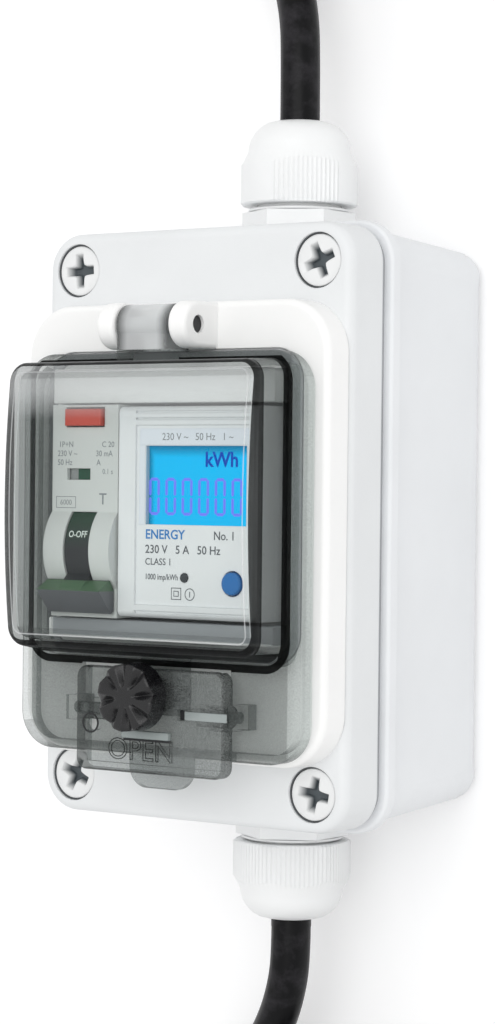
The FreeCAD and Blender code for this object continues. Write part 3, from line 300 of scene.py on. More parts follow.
plasticLooks = {
    # colour, darker tone, roughness, what differs from the usual
    "housing_grey": ((239, 241, 243), (235, 237, 239), 0.42),
    "cover_grey": ((234, 236, 237), (230, 232, 233), 0.40),
    "frame_white": ((252, 252, 251), (249, 249, 248), 0.36, {"depth": 0.00002}),
    "screw_white": ((233, 234, 234), (226, 227, 227), 0.34, {"edge": 0.0004}),
    "device_white": ((246, 246, 247), (240, 241, 243), 0.40),
    "device_grey": ((176, 178, 180), (168, 170, 173), 0.45),
    "gland_white": ((248, 249, 249), (244, 245, 245), 0.34),
    "knob_black": ((27, 27, 29), (21, 21, 23), 0.26, {"shine": 0.5, "depth": 0.00004, "grain": 3600.0}),
    "seal_black": ((186, 188, 191), (174, 176, 179), 0.62),
    "button_red": ((214, 88, 74), (206, 80, 66), 0.42),
    "key_blue": ((40, 122, 196), (34, 112, 184), 0.30),
    "board_green": ((26, 92, 58), (20, 80, 50), 0.45),
    "wire_brown": ((110, 68, 42), (100, 60, 36), 0.36),
    "wire_blue": ((52, 96, 168), (46, 88, 156), 0.36),
    "lamp_dark": ((62, 66, 70), (54, 58, 62), 0.22),
}


metalUsual = {"grain": 900.0, "darker": 0.86, "depth": 0.00002, "edge": 0.0002, "spread": (-0.05, 0.1)}


def metalLook(name, colour, rough, s):
    mat, tree, shader, coord = startLook(name)
    grain = addNoise(tree, coord, s["grain"], 4.0)
    shade = tuple(c * s["darker"] for c in colour[:3]) + (1.0,)
    feed(shader, "Base Color", addMix(tree, addSpread(tree, grain, 0.0, 1.0), colour, shade))
    feed(shader, "Metallic", 1.0)
    addRough(tree, grain, shader, *s["spread"], rough)
    addBump(tree, [(grain, s["depth"])], shader, s["edge"])
    return mat


rubber = {
    "dark": srgb(13, 13, 15), "dusty": srgb(50, 48, 52), "rough": (0.28, 0.44), "shine": 0.16,
    # scale, detail and roughness of each noise, then the depths
    "grain": (1500.0, 5.0, 0.6), "dust": (160.0, 6.0, 0.65), "dustFade": (0.45, 0.75), "grainDepth": 0.00004,
    "dustDepth": 0.0001,
}


def cableRubber(name, s):
    mat, tree, shader, coord = startLook(name)
    grain = addNoise(tree, coord, *s["grain"])
    dust = addNoise(tree, coord, *s["dust"])
    blend = addRange(tree, dust, *s["dustFade"], 0.0, 1.0)
    feed(shader, "Base Color", addMix(tree, blend, s["dark"], s["dusty"]))
    addRough(tree, dust, shader, *s["rough"])
    feed(shader, "Specular IOR Level", s["shine"])
    addBump(tree, [(grain, s["grainDepth"]), (dust, s["dustDepth"])], shader)
    return mat


twoToneUsual = {**plasticUsual, "cloud": 120.0, "clouded": (0.93, 0.93, 0.93, 1.0), "rough": 0.4,
                "spread": (-0.05, 0.08)}


def twoTone(name, colourLow, colourHigh, axis, at, s):
    # one moulding in two colours, changing at a place along an axis, in millimetres
    mat, tree, shader, coord = startLook(name)
    tone = addMix(tree, above(tree, addPlace(tree, coord)[axis], at), colourLow, colourHigh)
    grain = addNoise(tree, coord, s["grain"], 2.0)
    cloud = addRange(tree, addNoise(tree, coord, s["cloud"], 3.0), 0.35, 0.65, 0.0, 1.0)
    feed(shader, "Base Color", addMix(tree, cloud, tone, s["clouded"], "MULTIPLY"))
    addRough(tree, grain, shader, *s["spread"], s["rough"])
    addBump(tree, [(grain, s["depth"])], shader, s["edge"])
    return mat


doorGlass = {
    # share of light let through at each surface, by place on the door
    # painted shade: the low shares on the left wall, at the rim, at the root and on the under side; painted light:
    # the high share on the flange's right strip
    "front": 0.965, "side": 0.75, "leftShade": 0.45, "flange": 0.80, "flangeRightLightened": 0.98, "flangeSide": 1.0,
    "knuckle": 0.95, "knuckleDark": 0.35, "rim": 0.10, "root": 0.04, "under": 0.17, "bracket": 0.96,
    "grazing": 0.22, "tone": (0.985, 1.0, 0.995), "underGloss": 0.3, "grain": 0.00002,
    # haze: how much of the plastic is lit like a solid
    "haze": 0.10, "knuckleHaze": 0.50, "knuckleEndHaze": 0.12, "sideHaze": 0.08, "glintHaze": 0.36, "paintedSheen": 0.22,
    # the glint ring and the haze along the top of the front are a painted highlight and a painted sheen, in the pale
    # tone
    "hazeTone": srgb(150, 155, 154), "paleTone": srgb(240, 242, 243),
    # where each surface lies, in millimetres; boxes are middle x and y, half widths and corner; slant is how far
    # the right side leans out for each millimetre up
    "domeFrom": 72.4, "frontFrom": 79.6, "knuckleFrom": 36.4, "knuckleFade": (4.4, 6.2),
    "knuckleHazeFade": (3.8, 6.0), "leftFrom": -31.0, "rightFrom": 34.2, "slant": 0.6, "flangeEdge": 36.0,
    "flangeTop": 70.6, "underRows": (-33.0, -25.3), "sheenRows": (22.0, 28.0),
    "rootBox": (0.0, 3.1, 33.0, 31.5, 5.0), "rootBand": (-0.4, 1.25), "rootHeights": (70.9, 72.6),
    "rootEnd": 34.9, "frontBox": (0.0, 4.3, 32.2, 29.5, 4.0), "rimFrom": -0.62, "rimBottom": 79.0,
    "glintBand": (-2.05, -1.75),
    # gloss face on and at a slant, where the grazing tint sets in, and the noises per metre
    "gloss": (0.01, 0.7), "grazingFade": (0.55, 0.97), "rough": (0.04, 0.12),
    "cloud": 60.0, "cloudDark": 0.985, "fine": 1400.0, "pebble": 2600.0, "speckle": (0.55, 1.45),
}
# the tab's darker rim is a painted dark edge along its outline
tabGlass = {**doorGlass, "flange": 0.82, "tabRimShade": 0.45, "tabBox": (0.0, -40.8, 19.2, 11.0, 2.5),
            "tabRimFrom": -0.4, "hazeFade": (2.0, 8.0), "hazeRise": 2.8, "grain": 0.00005}


slantPower = 4.0


def glossShare(tree, least, most):
    # how much of a clear surface is gloss: little face on, more at a slant, the same from both sides
    weight = tree.nodes.new("ShaderNodeLayerWeight")
    feed(weight, "Blend", 0.5)
    rise = addMaths(tree, "POWER", weight.outputs["Facing"], slantPower)
    return addMaths(tree, "ADD", times(tree, rise, most), least), weight


def outlineDistance(tree, x, y, box):
    # how far outside a rectangle with round corners a place lies, in metres; box in millimetres
    middleX, middleY, halfX, halfY, corner = [v * mm for v in box]
    overs, squares = [], []
    for value, middle, half in ((x, middleX, halfX), (y, middleY, halfY)):
        wide = addMaths(tree, "ABSOLUTE", addMaths(tree, "SUBTRACT", value, middle))
        overs.append(addMaths(tree, "SUBTRACT", wide, half - corner))
        outside = addMaths(tree, "MAXIMUM", overs[-1], 0.0)
        squares.append(times(tree, outside, outside))
    squares = addMaths(tree, "ADD", *squares)
    inside = addMaths(tree, "MINIMUM", addMaths(tree, "MAXIMUM", *overs), 0.0)
    return addMaths(tree, "SUBTRACT", addMaths(tree, "ADD", addMaths(tree, "SQRT", squares), inside), corner)


def times(tree, *values):
    # the product; of tests, 1 where every one is 1
    out = values[0]
    for value in values[1:]:
        out = addMaths(tree, "MULTIPLY", out, value)
    return out


def above(tree, value, limit):
    return addMaths(tree, "GREATER_THAN", value, limit * mm)


def below(tree, value, limit):
    return addMaths(tree, "LESS_THAN", value, limit * mm)


def between(tree, value, limits):
    return times(tree, above(tree, value, limits[0]), below(tree, value, limits[1]))


def choose(tree, test, otherwise, chosen):
    # one number where the test is 1, another where it is 0
    if not isinstance(otherwise, bpy.types.NodeSocket):
        return addRange(tree, test, 0.0, 1.0, otherwise, chosen)
    gap = addMaths(tree, "SUBTRACT", chosen, otherwise)
    return addMaths(tree, "ADD", otherwise, times(tree, test, gap))


def chooseEach(tree, value, *steps):
    for test, chosen in steps:
        value = choose(tree, test, value, chosen)
    return value


def fade(tree, value, limits, low, high):
    return addRange(tree, value, limits[0] * mm, limits[1] * mm, low, high)


def doorShares(tree, place, s):
    # the light let through and the haze by place, with painted shade, a painted highlight and a painted sheen in
    # places, and 1 on the pale, the domed and the under sides
    x, y, z = place
    wide = addMaths(tree, "ABSOLUTE", x)
    isDome = above(tree, z, s["domeFrom"])
    isFront = above(tree, z, s["frontFrom"])
    isKnuckle = above(tree, y, s["knuckleFrom"])
    # painted shade on the dome's left wall
    isLeftShade = times(tree, isDome, below(tree, x, s["leftFrom"]))
    # the flange's right strip is made clearer: painted light
    slanting = addMaths(tree, "SUBTRACT", x, times(tree, z, s["slant"]))
    isRightLightened = times(tree, above(tree, slanting, s["rightFrom"] - s["slant"] * s["domeFrom"]),
                    below(tree, z, s["domeFrom"]))
    isEdge = times(tree, above(tree, wide, s["flangeEdge"]), below(tree, z, s["flangeTop"]))
    # painted shadow line along the foot of the dome
    root = outlineDistance(tree, x, y, s["rootBox"])
    isRootShadow = times(tree, between(tree, root, s["rootBand"]), between(tree, z, s["rootHeights"]),
                   below(tree, y, s["rootEnd"]))
    # painted dark edge round the front's outline
    rim = outlineDistance(tree, x, y, s["frontBox"])
    isRimShade = times(tree, above(tree, rim, s["rimFrom"]), above(tree, z, s["rimBottom"]))
    # a painted highlight ring just inside the front's outline
    isGlint = times(tree, between(tree, rim, s["glintBand"]), isFront)
    # painted shade on the dome's lower wall
    isUnderShade = times(tree, between(tree, y, s["underRows"]), isDome)
    isBracket = times(tree, below(tree, y, s["underRows"][0]), isDome)
    ends = fade(tree, wide, s["knuckleFade"], s["knuckle"], s["knuckleDark"])
    passing = chooseEach(tree, s["flange"], (isDome, s["side"]), (isLeftShade, s["leftShade"]), (isFront, s["front"]),
                         (isKnuckle, ends), (isRightLightened, s["flangeRightLightened"]), (isEdge, s["flangeSide"]),
                         (isRootShadow, s["root"]), (isRimShade, s["rim"]), (isBracket, s["bracket"]),
                         (isUnderShade, s["under"]))
    # painted sheen towards the top of the front
    paintedSheen = fade(tree, y, s["sheenRows"], 0.0, s["paintedSheen"])
    ends = fade(tree, wide, s["knuckleHazeFade"], s["knuckleHaze"], s["knuckleEndHaze"])
    haze = chooseEach(tree, s["haze"], (isDome, s["sideHaze"]), (isFront, paintedSheen), (isGlint, s["glintHaze"]),
                      (isRimShade, 0.0), (addMaths(tree, "MAXIMUM", isUnderShade, isRootShadow), 0.0), (isKnuckle, ends),
                      (isEdge, 0.0))
    return passing, haze, addMaths(tree, "MAXIMUM", isFront, isKnuckle), isDome, isUnderShade


def tabShares(tree, place, s):
    # a painted dark edge along the tab's outline
    rim = outlineDistance(tree, place[0], place[1], s["tabBox"])
    passing = choose(tree, above(tree, rim, s["tabRimFrom"]), s["flange"], s["tabRimShade"])
    return passing, fade(tree, place[0], s["hazeFade"], s["haze"], s["haze"] * s["hazeRise"])


def layGloss(tree, share, clear, shader):
    mix = tree.nodes.new("ShaderNodeMixShader")
    feed(mix, 0, share)
    feed(mix, 1, clear.outputs[0])
    feed(mix, 2, shader.outputs[0])
    feed(tree.nodes["Material Output"], "Surface", mix.outputs[0])


def smokyClear(name, s):
    # see-through smoky plastic: a tint by place and by grazing angle, a haze, and a clear gloss over it; the tint
    # and the haze carry painted shade, painted light, a painted highlight and a painted sheen in places
    mat, tree, shader, coord = startLook(name)
    place = addPlace(tree, coord)
    gloss, weight = glossShare(tree, *s["gloss"])
    pebble = addNoise(tree, coord, s["pebble"], 1.0)
    speckle = addRange(tree, pebble, 0.35, 0.65, *s["speckle"])
    feed(shader, "Base Color", s["hazeTone"])
    if "tabBox" in s:
        passing, haze = tabShares(tree, place, s)
    else:
        passing, haze, isPale, isDome, isUnderShade = doorShares(tree, place, s)
        # the lower wall's painted shade also gets less gloss
        gloss = times(tree, gloss, choose(tree, isUnderShade, 1.0, s["underGloss"]))
        speckle = choose(tree, isDome, speckle, 1.0)
        feed(shader, "Base Color", addMix(tree, isPale, s["hazeTone"], s["paleTone"]))
    edge = addRange(tree, weight.outputs["Facing"], *s["grazingFade"], 1.0, s["grazing"])
    cloud = addSpread(tree, addNoise(tree, coord, s["cloud"], 3.0), s["cloudDark"], 1.0)
    level = times(tree, edge, cloud, passing)
    tint = tree.nodes.new("ShaderNodeCombineColor")
    for i, share in enumerate(s["tone"]):
        feed(tint, i, times(tree, level, share))
    clear = tree.nodes.new("ShaderNodeBsdfTransparent")
    feed(clear, "Color", tint.outputs[0])
    grain = addNoise(tree, coord, s["fine"], 3.0)
    addRough(tree, grain, shader, *s["rough"])
    addBump(tree, [(grain, s["grain"]), (pebble, s["grain"])], shader)
    layGloss(tree, addMaths(tree, "ADD", gloss, times(tree, haze, speckle)), clear, shader)
    return mat


displayGlow = {
    "lit": srgb(0, 196, 255), "shaded": srgb(0, 120, 165), "strength": 0.95, "unlit": srgb(0, 60, 90),
    "unlitShaded": srgb(0, 40, 60), "shadeLeft": 1.6, "shadeTop": 2.4, "cells": 4200.0, "rough": (0.25, 0.35),
    "shine": 0.12, "speckle": 0.05,
}


def litDisplay(name, s):
    # lit blue, with the shadow of its opening along the left and the top
    mat, tree, shader, coord = startLook(name)
    x, y, z = addPlace(tree, coord)
    low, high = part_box("display_window")
    left = addRange(tree, x, low.x, low.x + s["shadeLeft"] * mm, 1.0, 0.0)
    top = addRange(tree, y, high.y - s["shadeTop"] * mm, high.y, 0.0, 1.0)
    cells = addNoise(tree, coord, s["cells"], 1.0)
    shadow = addMaths(tree, "ADD", addMaths(tree, "MAXIMUM", left, top), addSpread(tree, cells, 0.0, s["speckle"]))
    feed(shader, "Emission Color", addMix(tree, shadow, s["lit"], s["shaded"]))
    feed(shader, "Base Color", addMix(tree, shadow, s["unlit"], s["unlitShaded"]))
    feed(shader, "Emission Strength", s["strength"])
    feed(shader, "Specular IOR Level", s["shine"])
    addRough(tree, cells, shader, *s["rough"])
    return mat


paneGlass = {"clear": (0.97, 0.985, 0.99, 1.0), "dark": (0.02, 0.02, 0.02, 1.0), "gloss": (0.003, 0.4),
             "grain": 900.0, "rough": (0.08, 0.14)}


def clearPane(name, s):
    mat, tree, shader, coord = startLook(name)
    clear = tree.nodes.new("ShaderNodeBsdfTransparent")
    feed(clear, "Color", s["clear"])
    feed(shader, "Base Color", s["dark"])
    addRough(tree, addNoise(tree, coord, s["grain"], 2.0), shader, *s["rough"])
    layGloss(tree, glossShare(tree, *s["gloss"])[0], clear, shader)
    return mat


# paler: how far the specks of an ink go towards white
printInk = {"specks": 5200.0, "paler": 0.12, "palerGlowing": 0.015, "rough": 0.5, "shine": 0.12}


def inkLook(name, colour, glow, s):
    mat, tree, shader, coord = startLook(name)
    specks = addRange(tree, addNoise(tree, coord, s["specks"], 2.0), 0.4, 0.7, 0.0, 1.0)
    share = s["palerGlowing"] if glow else s["paler"]
    paler = tuple(c + (1 - c) * share for c in colour[:3]) + (1.0,)
    feed(shader, "Base Color", addMix(tree, specks, colour, paler))
    feed(shader, "Roughness", s["rough"])
    feed(shader, "Specular IOR Level", s["shine"])
    if glow:
        feed(shader, "Emission Color", colour)
        feed(shader, "Emission Strength", glow)
    return mat


toggleTones = {
    "drumFace": srgb(34, 36, 40), "drumTop": srgb(36, 66, 50), "leverTop": srgb(78, 110, 80),
    "leverFace": srgb(104, 106, 110), "drumFade": (-5.5, 1.5),
    "leverFrom": -11.9, "leverHeight": 72.5, "faceFrom": -14.0,
    "grain": 2400.0, "rough": (0.30, 0.42), "depth": 0.00003, "edge": 0.0003,
}


def toggleLook(name, s):
    # green above and grey in front, as the drum and the lever are coloured
    mat, tree, shader, coord = startLook(name)
    x, y, z = addPlace(tree, coord)
    drum = addMix(tree, fade(tree, y, s["drumFade"], 0.0, 1.0), s["drumFace"], s["drumTop"])
    lever = addMix(tree, above(tree, y, s["faceFrom"]), s["leverFace"], s["leverTop"])
    isLever = times(tree, below(tree, y, s["leverFrom"]), above(tree, z, s["leverHeight"]))
    grain = addNoise(tree, coord, s["grain"], 2.0)
    feed(shader, "Base Color", addMix(tree, isLever, drum, lever))
    addRough(tree, grain, shader, *s["rough"])
    addBump(tree, [(grain, s["depth"])], shader, s["edge"])
    return mat


looks = {name: mouldedPlastic(name, *row) for name, row in plasticLooks.items()}
looks["steel"] = metalLook("steel", srgb(200, 202, 206), 0.28, metalUsual)
looks["brass"] = metalLook("brass", srgb(214, 178, 104), 0.26, metalUsual)
looks["cable_black"] = cableRubber("cable_black", rubber)
looks["smoky_clear"] = smokyClear("smoky_clear", doorGlass)
looks["display_clear"] = clearPane("display_clear", paneGlass)
looks["display_blue"] = litDisplay("display_blue", displayGlow)
looks["toggle_green"] = toggleLook("toggle_green", toggleTones)
looks["flag_two_tone"] = twoTone("flag_two_tone", srgb(158, 160, 160), srgb(30, 84, 62), 0, -21.3, twoToneUsual)
looks["wire_green"] = twoTone("wire_green", srgb(104, 150, 60), srgb(196, 190, 64), 1, 0.0, twoToneUsual)

# looks of added pieces, and of four nodes that differ from the rest of their slot
extraPlastics = {
    # painted shade: a dark look for holes, gaps and the strips under and beside the tab's ridge and bar
    "paintedShadeDark": ((44, 45, 47), (34, 35, 37), 0.5),
    # painted shade in the gap round each screw head
    "wellShadeGrey": ((96, 99, 102), (84, 87, 90), 0.5),
    "labelFoil": ((240, 243, 250), (234, 238, 246), 0.30, {"depth": 0.00001}),
    "pinClear": ((150, 156, 155), (134, 141, 140), 0.22),
    "breakerIvory": ((220, 222, 220), (214, 216, 214), 0.42),
    "ridgePale": ((160, 168, 167), (140, 148, 147), 0.22),
    "trimGrey": ((172, 175, 179), (164, 167, 171), 0.4),
}
plainTab = {**tabGlass, "tabRimFrom": 50.0, "grain": doorGlass["grain"]}   # no painted dark edge along the outline
extras = {name: mouldedPlastic(name, *row) for name, row in extraPlastics.items()}
extras["tabSmoky"] = smokyClear("tabSmoky", tabGlass)
extras["pinSmoky"] = smokyClear("pinSmoky", {**plainTab, "flange": 0.95, "haze": 0.04})
# painted shade: the raised letters, of the door's own clear plastic, let little light through
extras["openLook"] = smokyClear("openLook", {**plainTab, "flange": 0.28})
inkTones = {"inkDark": ((88, 92, 98), 0.0), "inkPale": ((138, 142, 146), 0.0),
            "inkBlue": ((40, 128, 200), 0.0), "inkWhite": ((232, 240, 234), 0.0),
            "digitViolet": ((104, 112, 218), 0.75), "unitBlue": ((0, 66, 168), 0.55)}   # tone, glow
inks = {name: inkLook(name, srgb(*colour), glow, printInk) for name, (colour, glow) in inkTones.items()}

for entry in frame["record"]["subparts"]:
    mesh = nodes[entry["node"]].data
    mesh.materials.clear()
    mesh.materials.append(looks[entry["material_slot"]])
for node, look in (("latch_tab", "tabSmoky"), ("latch_pins", "pinSmoky"), ("hinge_pin", "pinClear"),
                   ("breaker_case", "breakerIvory")):
    nodes[node].data.materials[0] = extras[look]
print("finishes set on the CAD nodes")


# The two leads: each runs to a hank with three runs on its left, beside the other end of the cord

leadSettings = {
    "radius": 4.5 * mm, "centreX": 2.2, "half": 34.4, "step": 9.6, "endBend": 36.0, "foldSteps": 14,
    "straight": (4.0, 9.0),
    # route to the hank, length of the hank, x and z of the plug's or the socket's cord end
    "supply": (((0.0, 90.0, 20.0), (0.0, 102.1, 20.0), (-2.1, 113.8, 17.5), (-7.1, 124.1, 13.6), (-14.6, 132.4, 9.2),
                (-23.1, 140.5, 7.4), (-29.1, 150.4, 6.1), (-32.2, 161.5, 5.4), (-32.2, 173.0, 5.4)),
               90.5, (10.0, 10.5)),
    "outlet": (((0.0, -90.0, 20.0), (0.0, -97.9, 20.0), (-1.8, -105.6, 19.4), (-5.2, -113.0, 18.2),
                (-11.3, -121.0, 15.8), (-20.4, -128.1, 11.7), (-26.1, -135.0, 8.7), (-30.1, -143.3, 6.5),
                (-32.2, -152.5, 5.4), (-32.2, -162.0, 5.4)), 114.5, (7.8, 21.0)),
}


def hankPoints(start, run, endSpot, s):
    way = 1 if start[1] > 0 else -1
    near = start[1]
    far = near + way * run
    left = s["centreX"] - s["half"]
    inner = left + s["step"]
    right = s["centreX"] + s["half"]
    last = right - s["step"] / 2
    farIn = far + way * s["step"] / 2
    farTop = far + way * s["step"] * 3 / 4
    points = []

    def fold(x0, x1, y, side, z, fromLevel=True):
        # half a turn from x0 to x1, bulging to the side of Y that side names
        turnStep = math.pi / s["foldSteps"]
        grow = 1 / math.cos(turnStep / 2)   # the curve runs a little inside its control points
        r = (x1 - x0) / 2
        lead = abs(r) * math.tan(turnStep / 2)
        if fromLevel:
            points.append((x0, y - side * lead, z))
        for i in range(s["foldSteps"]):
            a = turnStep * (i + 0.5)
            points.append((x0 + r - r * grow * math.cos(a), y + side * abs(r) * grow * math.sin(a), z))
        points.append((x1, y - side * lead, z))

    def climb(x, y0, y1, z0, z1):
        # two bends of the same size, from level to level
        length, rise = abs(y1 - y0), z1 - z0
        radius = (length ** 2 + rise ** 2) / (4 * rise)
        turn = math.asin(length / 2 / radius)
        lead = radius * math.tan(turn / 2)
        toward = 1 if y1 > y0 else -1
        for y, z in ((y0 - toward * lead, z0), (y0 + toward * lead, z0), (y1 - toward * lead, z1)):
            points.append((x, y, z))

    z = start[2]
    fold(left, right, far, way, z)
    fold(right, inner, near, -way, z)
    climb(inner, near + way * run / 2, farIn, z, z + s["step"])
    z += s["step"]
    fold(inner, right, farIn, way, z, False)
    fold(right, inner, near, -way, z)
    climb(inner, near + way * run * 3 / 8, far, z, z + s["step"])
    z += s["step"]
    fold(inner, last, farTop, way, z, False)

    # a slanting bend down to the plug or the socket
    r = (last - inner) / 2
    dx, dz = endSpot[0] - last, endSpot[1] - z
    shift = math.hypot(dx, dz)
    turn = math.acos(1 - shift / (r + s["endBend"]))
    reach = 1 / math.cos(turn / 4)
    total = (r + s["endBend"]) * math.sin(turn)

    def bend(part, size):
        return size * (1 - reach * math.cos(turn * part)) / shift, size * reach * math.sin(turn * part)

    points.pop()
    for part in (0.25, 0.75):
        side, along = bend(part, r)
        points.append((last + dx * side, farTop - way * along, z + dz * side))
    for part in (0.75, 0.25):
        side, along = bend(part, s["endBend"])
        points.append((endSpot[0] - dx * side, farTop - way * (total - along), endSpot[1] - dz * side))
    endY = farTop - way * total
    points += [(endSpot[0], endY - way * along, endSpot[1]) for along in s["straight"]]
    return points


def addLead(name, s, route, run, endSpot):
    points = list(route) + hankPoints(route[-1], run, endSpot, s)
    curve = bpy.data.curves.new(name, "CURVE")
    curve.dimensions = "3D"
    curve.bevel_depth = s["radius"]
    curve.bevel_resolution = 6
    curve.resolution_u = 6
    curve.use_fill_caps = True
    spline = curve.splines.new("NURBS")
    spline.points.add(len(points) - 1)
    for spot, (x, y, z) in zip(spline.points, points):
        spot.co = (x * mm, y * mm, z * mm, 1.0)
    spline.order_u = 3
    spline.use_endpoint_u = True
    curve.materials.append(looks["cable_black"])
    return addObject(name, curve, "enclosure")


supplyCord = addLead("supplyCord", leadSettings, *leadSettings["supply"])
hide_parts("supply_lead", "supply_hank")
outletCord = addLead("outletCord", leadSettings, *leadSettings["outlet"])
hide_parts("outlet_lead", "outlet_hank")
print("leads laid")


# Cable gland caps: grip with ribbed sides under a round top

capSettings = {
    # ribs: pitch in degrees; dip: how far the gripped faces sink between the sectors; slope: rise of the shoulder
    # for each millimetre inwards
    "pitch": 4.6, "ribHeight": 0.32, "ribWidth": 0.35, "dip": 0.55, "slope": 2.1, "steps": 390, "lift": 20.0,
    "gripRadius": 12.0, "gripFrom": 0.2, "ribTop": 8.8, "shoulderFrom": 8.0,
    "profile": ((9.45, 0.0), (12.55, 0.0), (12.9, 0.35), (12.9, 0.8), (12.9, 8.6), (12.9, 8.95), (11.5, 11.9),
                (11.35, 13.2), (10.9, 14.7), (10.0, 16.3), (8.8, 17.5), (7.6, 18.25), (6.2, 18.68), (5.4, 18.7),
                (4.95, 18.3), (4.95, 12.0), (9.45, 11.0)),
    "supply": {"way": 1, "start": 70.9, "stretch": 1.0, "turn": 42.0, "sectors": 3, "span": 69.0},
    "outlet": {"way": -1, "start": 70.5, "stretch": 0.93, "turn": 42.0, "sectors": 6, "span": 57.0},
}


def addCap(name, node, s, end):
    bm = bmesh.new()
    start, stretch = end["start"], end["stretch"]
    addSpun(bm, [(r, start + h * stretch) for r, h in s["profile"]], "Y", s["steps"])
    whole = 360 / end["sectors"]
    for v in bm.verts:
        r, h = math.hypot(v.co.x, v.co.z) / mm, v.co.y / mm - start
        if r < s["gripRadius"] or h < s["gripFrom"]:
            continue
        local = (math.degrees(math.atan2(v.co.x, v.co.z)) - end["turn"] + whole / 2) % whole - whole / 2
        if abs(local) > end["span"] / 2:
            continue
        dip = s["dip"] * math.cos(math.pi * local / end["span"])
        ridge = 0.0
        if h < s["ribTop"] * stretch:
            wave = math.cos(2 * math.pi * local / s["pitch"]) + s["ribWidth"]
            ridge = s["ribHeight"] * max(0.0, wave) / (1 + s["ribWidth"])
        if h > s["shoulderFrom"] * stretch:
            v.co.y += dip * s["slope"] * stretch * mm
        grow = (r - dip + ridge) / r
        v.co.x *= grow
        v.co.z *= grow
    if end["way"] < 0:
        mirrorY(bm)
    moveBy(bm, 0, 0, s["lift"])
    cap = addPiece(name, bm, looks["gland_white"])
    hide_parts(node)


addCap("supplyCapGrip", "supply_gland_cap", capSettings, capSettings["supply"])
addCap("outletCapGrip", "outlet_gland_cap", capSettings, capSettings["outlet"])


# a thin collar between each gland's hexagon and its cap
collarSettings = {"inner": 9.2, "outer": 11.3, "from": 69.5, "thick": 0.55, "edge": 0.12,
                  "lift": capSettings["lift"]}


def addCollars(s):
    bm = bmesh.new()
    low, high, edge = s["from"], s["from"] + s["thick"], s["edge"]
    for way in (1, -1):
        ring = bmesh.new()
        addSpun(ring, [(s["inner"], low), (s["outer"] - edge, low), (s["outer"], low + edge),
                       (s["outer"], high - edge), (s["outer"] - edge, high), (s["inner"], high)], "Y", 96)
        if way < 0:
            mirrorY(ring)
        moveBy(ring, 0, 0, s["lift"])
        addPart(bm, ring)
    addPiece("glandCollars", bm, looks["gland_white"])


addCollars(collarSettings)
print("gland caps made")


# Cover screws: domed heads with a flared cross recess

screwSettings = {
    "places": ((-31.5, 55.0, 3.0), (31.5, 55.0, 22.0), (-31.5, -55.0, -24.0), (31.5, -55.0, -9.5)),
    "head": 5.5, "seat": 54.6, "top": 58.5, "shank": 2.1, "end": 24.0, "soft": 0.5, "softMiddle": 0.3,
    "steps": 192,
    "armLength": 3.75, "armHalf": 0.95, "flare": 0.42, "flareCurve": 1.5,
    "recess": ((1.06, 0.0), (1.0, 0.12), (0.74, 1.84), (0.62, 2.3)),   # share of the cross, depth
    # painted shade in the cross recess: dark at its foot, fading to the pale head between the two fade heights
    "dark": srgb(84, 91, 95), "pale": srgb(236, 237, 237), "fade": (56.6, 58.3),
}


def screwPlastic(name, s):
    # a pale head with painted shade darkening down into its recess
    mat = mouldedPlastic(name, *plasticLooks["screw_white"])
    tree = mat.node_tree
    x, y, z = addPlace(tree, tree.nodes["Texture Coordinate"])
    feed(tree.nodes["Principled BSDF"], "Base Color",
         addMix(tree, fade(tree, z, s["fade"], 0.0, 1.0), s["dark"], s["pale"]))
    return mat


def crossReach(angle, s):
    # how far the recess reaches from its centre, in millimetres
    off = abs((angle + 45) % 90 - 45)
    arm = s["armLength"] / math.cos(math.radians(off))
    if off < 1:
        return arm
    return min(arm, s["armHalf"] / math.sin(math.radians(off)) + s["flare"] * (off / 45) ** s["flareCurve"])


def addScrews(s):
    bm = bmesh.new()
    head, top, soft, arm = s["head"], s["top"], s["soft"], s["armLength"]
    half = soft * s["softMiddle"]
    profile = [(0, s["end"]), (s["shank"], s["end"]), (s["shank"], s["seat"]), (head, s["seat"]),
               (head, top - soft), (head - half, top - half), (head - soft, top)]
    profile += [(arm * share, top - deep) for share, deep in s["recess"]] + [(0, top - s["recess"][-1][1])]
    for x, y, turn in s["places"]:
        screw = bmesh.new()
        addSpun(screw, profile, "Z", s["steps"])
        for v in screw.verts:
            # the round recess is drawn in to a cross
            if v.co.z > s["seat"] * mm and math.hypot(v.co.x, v.co.y) < (head - soft - half) * mm:
                share = crossReach(math.degrees(math.atan2(v.co.y, v.co.x)), s) / arm
                v.co.x *= share
                v.co.y *= share
        bmesh.ops.rotate(screw, cent=(0, 0, 0), matrix=Matrix.Rotation(math.radians(turn), 3, "Z"),
                         verts=screw.verts)
        moveBy(screw, x, y, 0)
        addPart(bm, screw)
    screws = addPiece("coverScrews", bm, screwPlastic("screwHeadsRecessShade", s))
    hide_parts("cover_screws")


addScrews(screwSettings)


# Display: six digits and the unit behind the window

digitSettings = {
    "count": 6, "left": -2.1, "right": 21.9, "low": 2.15, "high": 9.95, "width": 2.8, "stroke": 0.62,
    "gap": 0.16, "z": 71.158, "depth": 0.03, "point": 0.42, "inset": 0.7, "cut": 0.6,
    "unit": {"words": "kWh", "size": 4.3, "place": (12.3, 12.35, 71.17), "width": 0.98, "bold": 0.11},
}


def addBar(bm, x0, x1, y0, y1, s):
    # a flat bar with pointed ends
    made = addBlock(bm, (x0, x1), (y0, y1), (s["z"], s["z"] + s["depth"]))
    upright = list({e for v in made for e in v.link_edges
                    if abs(e.verts[0].co.z - e.verts[1].co.z) > s["depth"] * mm / 2})
    bmesh.ops.bevel(bm, geom=upright, offset=min(x1 - x0, y1 - y0) * s["point"] * mm, segments=1,
                    affect="EDGES", profile=0.5, material=-1)


